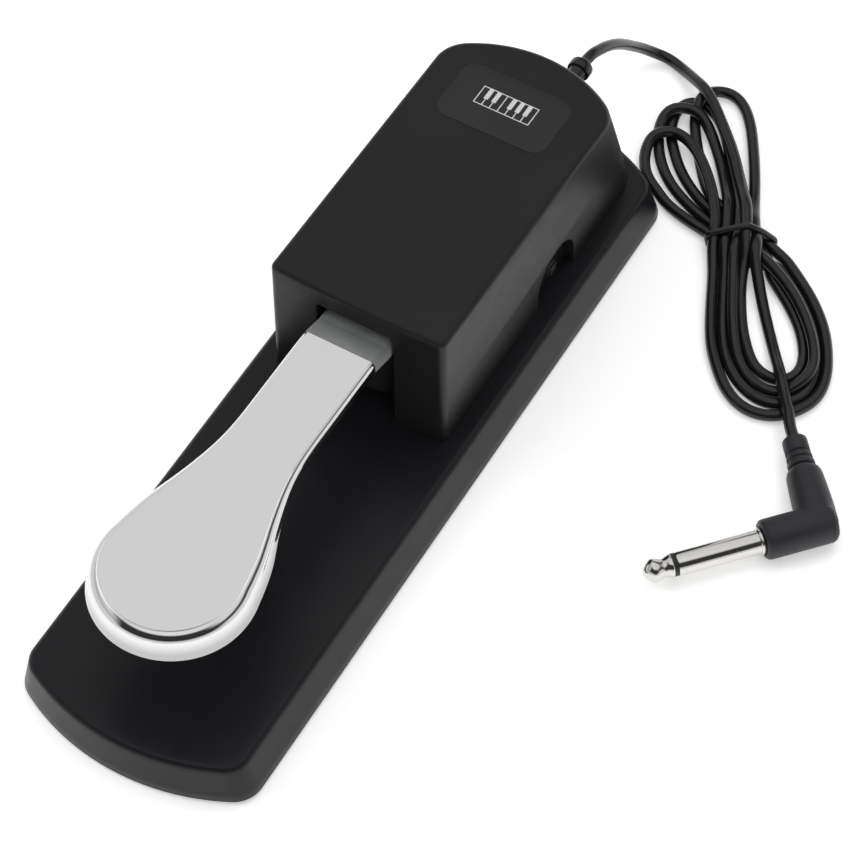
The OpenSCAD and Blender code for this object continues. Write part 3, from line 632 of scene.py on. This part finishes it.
ribs = [(0, 0), (5.3, 0), (5.3, 5), (5.22, 7.5), (5.05, 11), (4.85, 14.2), (4.72, 15.3), (4.35, 16.3), (4.1, 16.6), (3.2, 16.75), (3.05, 16.9), (3.05, 17.45), (3.2, 17.6), (3.5, 17.65), (3.65, 17.8), (3.65, 18.95),
        (3.5, 19.1), (3.15, 19.15), (2.98, 19.3), (2.98, 19.8), (3.12, 19.95), (3.3, 20.0), (3.45, 20.15), (3.42, 21.1), (3.28, 21.25), (2.95, 21.3), (2.8, 21.45), (2.8, 21.85), (2.95, 22.0), (3.2, 22.05), (3.35, 22.2),
        (3.32, 25.9), (3.2, 26.3), (2.9, 26.6), (2.1, 26.65), (1.95, 26.4), (1.9, 25), (0, 25)]
leg = lathe("boot_b", ribs, 72, MB, 50)
bm = bmesh.new()
bm.from_mesh(body.data)
bm_leg = bmesh.new()
bm_leg.from_mesh(leg.data)
for o in (body, leg):
    o.hide_render = False
mod = body.modifiers.new("union", "BOOLEAN")
mod.operation = "UNION"
mod.solver = "EXACT"
mod.object = leg
bm.free()
bm_leg.free()
body = apply_mods(body)
bpy.data.objects.remove(leg)
body.name = "plug_boot_skin"
sharp_by_angle(body, 55)

dress(sleeve, "plug_nickel", replaces=["plug_sleeve"])
dress(tip, "plug_nickel", replaces=["plug_tip"])
dress(ring, "switch_plastic", replaces=["plug_ring"])
dress(body, "boot_pvc", replaces=["plug_boot"])

# ------------------------------------------------------------------ strain relief
MR = Matrix.Translation(Vector((0, 0, 0.028))) @ Matrix.Rotation(-math.pi / 2, 4, "X")
prof = [(1.65, 93), (2.15, 93), (2.15, 96.4), (4, 96.4), (4, 100.6), (2.7, 100.6), (2.7, 107.9), (2.95, 108.1), (3.2, 108.3), (3.2, 110.3), (2.95, 110.6), (2.5, 110.8), (2.4, 111.1), (2.4, 115.3), (2.5, 115.5), (2.9, 115.6), (3.2, 115.75), (3.3, 116.0), (3.3, 118.2), (3.15, 118.5), (2.7, 118.6), (2.3, 118.75),
        (2.1, 119.1), (1.92, 119.7), (1.78, 119.95), (1.65, 119.98)]
relief = lathe("strain_relief_skin", prof + [prof[0]], 64, MR, 35)
dress(relief, "cable_pvc", replaces=["strain_relief"])

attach(lead_obj, "base")
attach(tie_obj, "base")
paint(tie_obj, M["cable_pvc"])
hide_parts("cable_lead", "cable_hank", "cable_tail")
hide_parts("hank_tie")

# ------------------------------------------------------------------ base
BH, BL, BW, LEAN = 14.0, 232.0, 68.0, 3.0


def base_ring(z, d, n=22, m=16):
    t = (z - 1) / (BH - 1)
    p = plan(BW / 2 - LEAN * t - d, -BL / 2 + 1.6 * t + d, BL / 2 - 4.4 * t - d, 63.7 - 1.6 * t - d, 53 - d, max(8 - t - d * 0.6, 3), max(8 - t - d * 0.6, 3), n, m)
    return [(x, y, z) for x, y in p]


rings = [base_ring(11.0, 3.2), base_ring(2.8, 2.7), base_ring(1.25, 2.6), base_ring(1.05, 2.4), base_ring(1.0, 2.1), base_ring(1.0, 0.5), base_ring(1.12, 0.2), base_ring(1.4, 0.0)]
rings += [base_ring(z, 0) for z in (4, 8, 11)]
for ins, drop in fillet(1.5, 8):
    rings.append(base_ring(BH - drop, ins))
for ins in (3, 6, 10, 16, 24):
    rings.append(base_ring(BH, ins))
base = loft("base_moulding", rings)
bm = bmesh.new()
bm.from_mesh(base.data)
bmesh.ops.recalc_face_normals(bm, faces=bm.faces)
bm.to_mesh(base.data)
bm.free()
parts = [base]
HOUSE_PTS = [(-18.5, 8), (18.5, 8), (-16.5, 97.5), (16.5, 97.5)]
PLATE_PTS = [(-24, -60), (24, -60), (-25.5, 34), (25.5, 34)]
for x, y in HOUSE_PTS:
    parts.append(lathe("boss", [(4, 11), (4, 5), (3.1, 5), (3.1, 7), (1.6, 7), (1.6, 11)], 32, Matrix.Translation((x * MM, y * MM, 0)), 40))
for x, y in PLATE_PTS:
    parts.append(lathe("boss", [(3.6, 11), (3.6, 2.72), (1.6, 2.72), (1.6, 9.5), (0, 9.5)], 32, Matrix.Translation((x * MM, y * MM, 0)), 40))
for x, y in [(-15, 47), (15, 47)]:
    parts.append(lathe("boss", [(3.2, 14), (3.2, 29.7), (3.0, 29.9), (1.3, 29.9), (1.3, 22), (0, 22)], 32, Matrix.Translation((x * MM, y * MM, 0)), 40))
base = join("base_moulding", parts)
sharp_by_angle(base, 42)
dress(base, "base_plastic", replaces=["base_shell"])

# ------------------------------------------------------------------ housing
HZ, FALL, HW, HTW, WALL = 55.3, 2.5, 51.0, 50.4, 2.2


def house_ring(z, d, flat=False, n=26, m=16):
    t = (z - BH) / (HZ - BH)
    c = max(0.9, 2 - d * 0.45)
    cr = 11 - t - d * 0.5
    p = plan(HW / 2 - (HW - HTW) / 2 * t - d, -0.5 + d, 109.5 - 12.3 * t - d, 400, 50 - 13 * t - d, c, cr, n, m)
    return [(x, y, z - (FALL / 97 * (y + 0.5) if flat else 0)) for x, y in p]


def blend_ring(z, d, f):
    """Between a level ring and one that follows the sloping top."""
    a = house_ring(z, d, False)
    return [(x, y, zz - FALL / 97 * (y + 0.5) * f) for x, y, zz in a]


R_TOP = 1.5
rings = [house_ring(BH + 0.02, 0.25), house_ring(BH + 0.22, 0.05), house_ring(BH + 0.6, 0.0)]
for k in range(1, 10):
    zt = BH + 0.6 + (HZ - R_TOP - BH - 0.6) * k / 9
    rings.append(blend_ring(zt, 0, k / 9))
for ins, drop in fillet(R_TOP, 10)[1:]:
    rings.append(blend_ring(HZ - drop, ins, 1))
for ins in (4, 7, 11, 16, 21):
    rings.append(blend_ring(HZ, ins, 1))
outer = loft("housing_cover", rings)
inner_rings = [house_ring(BH - 3, WALL)]
for k in range(0, 8):
    inner_rings.append(blend_ring(BH + (HZ - WALL - 0.4 - BH) * k / 7, WALL, k / 7))
inner_rings.append(blend_ring(HZ - WALL, WALL + 0.5, 1))
inner = loft("cut_inner", inner_rings)


def box_mesh(name, lo, hi, bevel=0.0, seg=3, axes=None):
    bm = bmesh.new()
    bmesh.ops.create_cube(bm, size=1)
    for v in bm.verts:
        v.co = Vector([(lo[k] + hi[k]) / 2 + v.co[k] * (hi[k] - lo[k]) for k in range(3)]) * MM
    if bevel:
        es = bm.edges[:]
        if axes is not None:
            es = [e for e in es if abs((e.verts[0].co - e.verts[1].co).normalized()[axes]) > 0.9]
        bmesh.ops.bevel(bm, geom=es, offset=bevel * MM, segments=seg, profile=0.5, affect="EDGES")
    return bm_obj(name, bm, False)


def prism_x(name, x0, x1, poly):
    """Closed outline in (y, z), pushed along X."""
    n = len(poly)
    verts = [(x0, y, z) for y, z in poly] + [(x1, y, z) for y, z in poly]
    faces = [(i, (i + 1) % n, n + (i + 1) % n, n + i) for i in range(n)]
    faces += [tuple(range(n - 1, -1, -1)), tuple(range(n, 2 * n))]
    o = mesh_obj(name, verts, faces, False)
    bm = bmesh.new()
    bm.from_mesh(o.data)
    bmesh.ops.recalc_face_normals(bm, faces=bm.faces)
    bm.to_mesh(o.data)
    bm.free()
    return o


def arch_outline(cy, r, top, low, seg=28):
    pts = [(cy - r, low), ]
    for k in range(seg + 1):
        a = math.pi - math.pi * k / seg
        pts.append((cy + r * math.cos(a), top - r + r * math.sin(a)))
    pts.append((cy + r, low))
    return pts[::-1]


ARCH_Y = 58.5
slot = box_mesh("cut_slot", (-11.2, -6, 9), (11.2, 4.2, 49.6), 1.4, 5, 1)
arch_cut = prism_x("cut_arch", 22.4, 32, arch_outline(ARCH_Y, 9.5, 29.4, 10))
arch_boss = prism_x("add_arch", 18.6, 24.6, arch_outline(ARCH_Y, 11.3, 31, 14.1))
knob_cut = box_mesh("cut_knob", (15, ARCH_Y - 5.2, 18.6), (24, ARCH_Y + 2.2, 22.8), 0.5, 3, 0)
relief_cut = lathe("cut_relief", [(0, 95), (3.35, 95), (3.35, 115), (0, 115)], 40, MR, 40)
for o, op in ((inner, "DIFFERENCE"), (arch_boss, "UNION"), (slot, "DIFFERENCE"), (arch_cut, "DIFFERENCE"), (knob_cut, "DIFFERENCE"), (relief_cut, "DIFFERENCE")):
    md = outer.modifiers.new("b", "BOOLEAN")
    md.operation = op
    md.solver = "EXACT"
    md.object = o
outer = apply_mods(outer)
for o in (inner, arch_boss, slot, arch_cut, knob_cut, relief_cut):
    bpy.data.objects.remove(o)
outer.name = "housing_cover"
bv = outer.modifiers.new("edge", "BEVEL")
bv.width = 0.35 * MM
bv.segments = 3
bv.limit_method = "ANGLE"
bv.angle_limit = math.radians(50)
bv.use_clamp_overlap = True
outer = apply_mods(outer)
sharp_by_angle(outer, 48)
dress(outer, "housing_plastic", replaces=["housing"])

# ------------------------------------------------------------------ lever
LZ, LT, PAD_R, PAD_Y, NHW, RIM = 47.5, 2.0, 17.7, -83.3, 10.2, 8.5
STEP0, STEP1, STEP = -7.6, -1.0, 2.0
NECK = [(-79.3, PAD_R - 0.45), (-75, PAD_R - 1.1), (-70, PAD_R - 2), (-65, 14.5), (-60, 13.2), (-55, 12.1), (-50, 11.2), (-45, 10.6), (-40, 10.3), (-34, NHW), (-28, NHW), (30, NHW)]


def half_width(y):
    """Half width of the flat face, smooth through the table."""
    xs = [q[0] for q in NECK]
    ys = [q[1] for q in NECK]
    if y <= xs[0]:
        return ys[0]
    if y >= xs[-1]:
        return ys[-1]
    k = min(max(i for i in range(len(xs)) if xs[i] <= y), len(xs) - 2)

    def slope(i):
        if i == 0:
            return -0.13
        if i >= len(xs) - 2:
            return 0.0
        return (ys[i + 1] - ys[i - 1]) / (xs[i + 1] - xs[i - 1])

    h = xs[k + 1] - xs[k]
    t = (y - xs[k]) / h
    m0, m1 = slope(k) * h, slope(k + 1) * h
    return (2 * t ** 3 - 3 * t ** 2 + 1) * ys[k] + (t ** 3 - 2 * t ** 2 + t) * m0 + (-2 * t ** 3 + 3 * t ** 2) * ys[k + 1] + (t ** 3 - t ** 2) * m1


def ease(t):
    t = min(max(t, 0), 1)
    return t * t * (3 - 2 * t)


def step_down(y):
    """The neck's step where it enters the housing, with short bends at both ends."""
    r = 0.5
    slope = STEP / (STEP1 - STEP0)
    if y <= STEP0 - r:
        return 0.0
    if y < STEP0 + r:
        return slope * (y - STEP0 + r) ** 2 / (4 * r)
    if y <= STEP1 - r:
        return slope * (y - STEP0)
    if y < STEP1 + r:
        return STEP - slope * (STEP1 + r - y) ** 2 / (4 * r)
    return STEP


def lever_z(y):
    return LZ - 0.021 * y - step_down(y)


ys_neck = list(np.arange(-78.6, -30, 1.2)) + [-30, -26, -22, -18, -15, -13, -11, -9.5, -8.5, -8.1, -7.8, -7.6, -7.4, -7.1, -6.6, -5.5, -4, -1.6, -1.2, -0.8, -0.4, 0.4, 4, 12, 20, 26, 30]


def lever_half(g, gn):
    a1 = math.radians(13)
    pts = []
    for i in range(49):
        a = -math.pi / 2 + (math.pi / 2 + a1) * i / 48
        pts.append(((PAD_R + g) * math.cos(a), PAD_Y + (PAD_R + g) * math.sin(a), 1.0))
    for y in ys_neck[1:]:
        f = ease((-36 - y) / 44)
        pts.append((half_width(y) + gn + (g - gn) * f, y, f))
    return pts


def lever_ring(g, gn, drop, dropn, squeeze=1.0, edge_run=False):
    """drop is how far below the top face the ring runs at the pad, dropn at the neck."""
    h = lever_half(g, gn)
    pts = h + [(-x, y, f) for x, y, f in h[:0:-1]]
    if edge_run:
        # the turned-down edge deepens slowly all the way to the toe end
        pts = [(x, y, ease((-34 - y) / 66)) for x, y, f in pts]
    return [(x * squeeze, y, lever_z(y) - (dropn * (1 - f) + drop * f)) for x, y, f in pts]


# profile outward from the flat face: (outset, drop) at the pad and at the neck
R_SH = 3.7
pad_prof, neck_prof = [], []
A0, A1 = math.radians(20), math.radians(74)
for k in range(15):
    a = A0 + (A1 - A0) * k / 14
    pad_prof.append((0.28 + R_SH * (math.sin(a) - math.sin(A0)), 0.42 + R_SH * (math.cos(A0) - math.cos(a))))
    neck_prof.append((-0.95 + 1.62 * (math.sin(a) - math.sin(A0)), 0.12 + 1.62 * (math.cos(A0) - math.cos(a))))
edge = pad_prof[-1][0]
nedge = neck_prof[-1][0]
rings = [lever_ring(0, -1.3, 0, 0, q) for q in (0.0, 0.35, 0.7, 0.93)]
rings += [lever_ring(-0.12, -1.12, 0.0, 0.0), lever_ring(0.0, -1.02, 0.03, 0.01), lever_ring(0.14, -0.98, 0.2, 0.05)]
rings += [lever_ring(g, gn, d, dn) for (g, d), (gn, dn) in zip(pad_prof, neck_prof)]
E = True
OUT = 3.5
rings += [lever_ring((edge * 2 + OUT) / 3, nedge + 0.03, 4.4, 2.6), lever_ring((edge + OUT * 2) / 3, nedge + 0.05, 6.2, 3.1, 1.0, E), lever_ring(OUT, nedge + 0.07, RIM - 0.5, 3.6, 1.0, E), lever_ring(OUT - 0.08, nedge, RIM - 0.15, 3.85, 1.0, E),
          lever_ring(OUT - 0.28, nedge - 0.2, RIM, 4.0, 1.0, E), lever_ring(OUT - 1.1, nedge - 1.1, RIM, 4.0, 1.0, E), lever_ring(OUT - 1.4, nedge - 1.35, RIM - 0.2, 3.85, 1.0, E), lever_ring(OUT - 1.55, nedge - 1.5, RIM - 0.6, 3.5, 1.0, E),
          lever_ring(OUT - 1.9, nedge - 1.6, 5.2, 2.8), lever_ring(OUT - 2.6, nedge - 1.9, 3.4, 2.3), lever_ring(-0.6, -2.6, 2.2, 2.0), lever_ring(-0.8, -3.0, 2.0, 2.0, 0.7), lever_ring(-0.8, -3.0, 2.0, 2.0, 0.0)]
lever = loft("lever_pressing", rings[::-1], cap_low=False, cap_high=False)
bm = bmesh.new()
bm.from_mesh(lever.data)
bmesh.ops.remove_doubles(bm, verts=bm.verts, dist=1e-6)
bmesh.ops.holes_fill(bm, edges=[e for e in bm.edges if e.is_boundary], sides=0)
bmesh.ops.recalc_face_normals(bm, faces=bm.faces)
bm.to_mesh(lever.data)
bm.free()
sharp_by_angle(lever, 16)
dress(lever, "lever_chrome", body="lever", replaces=["pedal_lever"])

# ------------------------------------------------------------------ nameplate with a plain keyboard strip
TILT = math.atan(FALL / 97)
PN = Matrix.Translation(Vector((-0.5, 75.5, HZ - FALL / 97 * 76)) * MM) @ Matrix.Rotation(-TILT, 4, "X")


def rounded_rect(hx, hy, r, seg=8):
    pts = []
    for sx, sy, a0 in ((1, 1, 0), (-1, 1, 90), (-1, -1, 180), (1, -1, 270)):
        for i in range(seg + 1):
            a = math.radians(a0 + 90 * i / seg)
            pts.append((sx * (hx - r) + r * math.cos(a), sy * (hy - r) + r * math.sin(a)))
    return pts


def plate_ring(d, z):
    return [(x, y, z) for x, y in rounded_rect(16 - d, 10 - d, 4 - d)]


plate = loft("nameplate_skin", [plate_ring(0, -0.35), plate_ring(0, 0.04), plate_ring(0.12, 0.14), plate_ring(0.3, 0.16), plate_ring(2.5, 0.16)])
plate.data.transform(PN)
dress(plate, "label", replaces=["nameplate"])

# silver print: a strip of piano keys, generic
bm = bmesh.new()


def add_rect(bm, x0, y0, x1, y1, z):
    vs = [bm.verts.new(Vector((x, y, z)) * MM) for x, y in ((x0, y0), (x1, y0), (x1, y1), (x0, y1))]
    bm.faces.new(vs)


keys, kw, x0, y0, y1, zt = 7, 2.3, -8.05, -1.9, 3.9, 0.175
line = 0.28
for k in range(keys + 1):
    x = x0 + k * kw
    full = k in (0, 3, 7)
    add_rect(bm, x - line / 2, y0, x + line / 2, y1 if full else y0 + 2.1, zt)
add_rect(bm, x0 - line / 2, y0 - line, x0 + keys * kw + line / 2, y0, zt)
add_rect(bm, x0 - line / 2, y1, x0 + keys * kw + line / 2, y1 + line, zt)
for k in (1, 2, 4, 5, 6):
    x = x0 + k * kw
    add_rect(bm, x - 0.62, y0 + 2.1, x + 0.62, y1, zt)
marks = bm_obj("keyboard_mark", bm, False)
marks.data.transform(PN)
silver, nt, bs = new_mat("silver_print")
nz = noise(nt, 1800, 2, 0.5)
cr = ramp(nt, nz.outputs["Fac"], [(0.3, (0.62, 0.62, 0.62)), (0.7, (0.72, 0.72, 0.72))])
nt.links.new(cr.outputs["Color"], bs.inputs["Base Color"])
bs.inputs["Roughness"].default_value = 0.4
bs.inputs["Metallic"].default_value = 0.3
M["silver_print"] = silver
dress(marks, "silver_print")

# ------------------------------------------------------------------ polarity knob
knob = box_mesh("knob_a", (15.3, 57.0, 18.8), (24.0, 60.2, 22.6), 0.3, 3)
kp = [knob]
for k in range(4):
    kp.append(box_mesh("knob_r", (23.9, 57.25 + k * 0.76, 19.1), (24.55, 57.25 + k * 0.76 + 0.42, 22.3), 0.12, 2))
knob = join("polarity_knob_skin", kp)
sharp_by_angle(knob, 40)
dress(knob, "switch_plastic", body="knob", replaces=["polarity_knob"])

# ------------------------------------------------------------------ return spring, closed coils at both ends
SP_Y, SP_Z0, SP_Z1, SP_R, SP_W, SP_N = 33, 16.5, 40.7, 4.7, 1.4, 7
verts, faces = [], []
STEPS, SIDES = SP_N * 40, 12
for i in range(STEPS + 1):
    t = i / STEPS
    q = min(max((t * SP_N - 0.8) / (SP_N - 1.6), 0), 1)
    a = 2 * math.pi * SP_N * t
    c = Vector((SP_R * math.cos(a), SP_Y + SP_R * math.sin(a), SP_Z0 + SP_W / 2 + 0.07 + (SP_Z1 - SP_Z0 - SP_W - 0.16) * q))
    rad = Vector((math.cos(a), math.sin(a), 0))
    for j in range(SIDES):
        b = 2 * math.pi * j / SIDES
        verts.append(tuple(c + (rad * math.cos(b) + Vector((0, 0, 1)) * math.sin(b)) * (SP_W / 2 * 0.96)))
for i in range(STEPS):
    for j in range(SIDES):
        k = (j + 1) % SIDES
        faces.append((i * SIDES + j, i * SIDES + k, (i + 1) * SIDES + k, (i + 1) * SIDES + j))
faces.append(tuple(range(SIDES - 1, -1, -1)))
faces.append(tuple(range(STEPS * SIDES, STEPS * SIDES + SIDES)))
spring = mesh_obj("return_spring_coil", verts, faces)
bm = bmesh.new()
bm.from_mesh(spring.data)
bmesh.ops.recalc_face_normals(bm, faces=bm.faces)
bm.to_mesh(spring.data)
bm.free()
paint(spring, M["switch_steel"])
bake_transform(spring)
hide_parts("return_spring")

# ------------------------------------------------------------------ floor, world, lights
fl = mesh_obj("floor", [(-4, -4, 0), (4, -4, 0), (4, 4, 0), (-4, 4, 0)], [(0, 1, 2, 3)], False, 1.0)
fm, nt, bs = new_mat("floor")
bs.inputs["Base Color"].default_value = (0.95, 0.95, 0.95, 1)
bs.inputs["Emission Color"].default_value = (1, 1, 1, 1)
bs.inputs["Emission Strength"].default_value = 0.34
bs.inputs["Roughness"].default_value = 0.9
bs.inputs["Specular IOR Level"].default_value = 0.1
fl.data.materials.append(fm)

world = bpy.data.worlds.new("studio")
bpy.context.scene.world = world
world.use_nodes = True
nt = world.node_tree
nt.nodes.clear()
out = nt.nodes.new("ShaderNodeOutputWorld")
bg1 = nt.nodes.new("ShaderNodeBackground")
bg1.inputs["Color"].default_value = (1, 1, 1, 1)
bg1.inputs["Strength"].default_value = 1.0
bg2 = nt.nodes.new("ShaderNodeBackground")
lp = nt.nodes.new("ShaderNodeLightPath")
mix = nt.nodes.new("ShaderNodeMixShader")
tcn = nt.nodes.new("ShaderNodeTexCoord")
sep = nt.nodes.new("ShaderNodeSeparateXYZ")
nt.links.new(tcn.outputs["Generated"], sep.inputs["Vector"])
mr = nt.nodes.new("ShaderNodeMapRange")
mr.inputs["From Min"].default_value = -1
mr.inputs["From Max"].default_value = 1
nt.links.new(sep.outputs["Z"], mr.inputs["Value"])


def sky(stops):
    rp = nt.nodes.new("ShaderNodeValToRGB")
    els = rp.color_ramp.elements
    while len(els) < len(stops):
        els.new(0.5)
    for e, (h, c) in zip(els, stops):
        e.position = (h + 1) / 2
        e.color = (c, c, c, 1)
    nt.links.new(mr.outputs["Result"], rp.inputs["Fac"])
    return rp


# studio: pale walls low down, a dark gap, then a broad overhead panel; the gap is wider towards the front
rear = sky([(-1, 0.8), (0.0, 0.85), (0.34, 0.85), (0.44, 0.08), (0.60, 0.10), (0.69, 0.82), (1.0, 0.86)])
front = sky([(-1, 0.8), (0.0, 0.85), (0.22, 0.75), (0.32, 0.04), (0.82, 0.04), (0.90, 0.9), (1.0, 1.0)])
left = sky([(-1, 0.7), (0.0, 0.82), (0.40, 0.8), (0.50, 0.55), (0.62, 0.6), (0.70, 0.8), (1.0, 0.86)])
fb = nt.nodes.new("ShaderNodeMapRange")
fb.interpolation_type = "SMOOTHSTEP"
fb.inputs["From Min"].default_value = -0.25
fb.inputs["From Max"].default_value = 0.15
nt.links.new(sep.outputs["Y"], fb.inputs["Value"])
sky_mix = nt.nodes.new("ShaderNodeMix")
sky_mix.data_type = "RGBA"
nt.links.new(fb.outputs["Result"], sky_mix.inputs["Factor"])
nt.links.new(front.outputs["Color"], sky_mix.inputs["A"])
nt.links.new(rear.outputs["Color"], sky_mix.inputs["B"])
fl_ = nt.nodes.new("ShaderNodeMapRange")
fl_.interpolation_type = "SMOOTHSTEP"
fl_.inputs["From Min"].default_value = -0.42
fl_.inputs["From Max"].default_value = -0.62
nt.links.new(sep.outputs["X"], fl_.inputs["Value"])
left_mix = nt.nodes.new("ShaderNodeMix")
left_mix.data_type = "RGBA"
nt.links.new(fl_.outputs["Result"], left_mix.inputs["Factor"])
nt.links.new(sky_mix.outputs["Result"], left_mix.inputs["A"])
nt.links.new(left.outputs["Color"], left_mix.inputs["B"])
nt.links.new(left_mix.outputs["Result"], bg2.inputs["Color"])
bg2.inputs["Strength"].default_value = 1.0
nt.links.new(lp.outputs["Is Camera Ray"], mix.inputs["Fac"])
nt.links.new(bg2.outputs["Background"], mix.inputs[1])
nt.links.new(bg1.outputs["Background"], mix.inputs[2])
nt.links.new(mix.outputs["Shader"], out.inputs["Surface"])


def area(name, loc, target, size, power, size_y=None):
    ld = bpy.data.lights.new(name, "AREA")
    ld.energy = power
    ld.size = size
    if size_y:
        ld.shape = "RECTANGLE"
        ld.size_y = size_y
    o = link(bpy.data.objects.new(name, ld))
    o.location = loc
    o.rotation_euler = (Vector(target) - Vector(loc)).to_track_quat("-Z", "Y").to_euler()
    o.visible_glossy = False
    return o


area("key", (1.1, -0.7, 1.2), (0, 0, 0.02), 0.9, 6, 0.9)
area("fill", (-1.2, -0.6, 1.4), (0, 0, 0.02), 1.2, 8, 1.2)
area("top", (0.0, 0.9, 1.9), (0, 0, 0.02), 1.4, 8, 1.4)

bpy.context.scene.view_settings.view_transform = "Standard"
bpy.context.scene.view_settings.exposure = 0.0
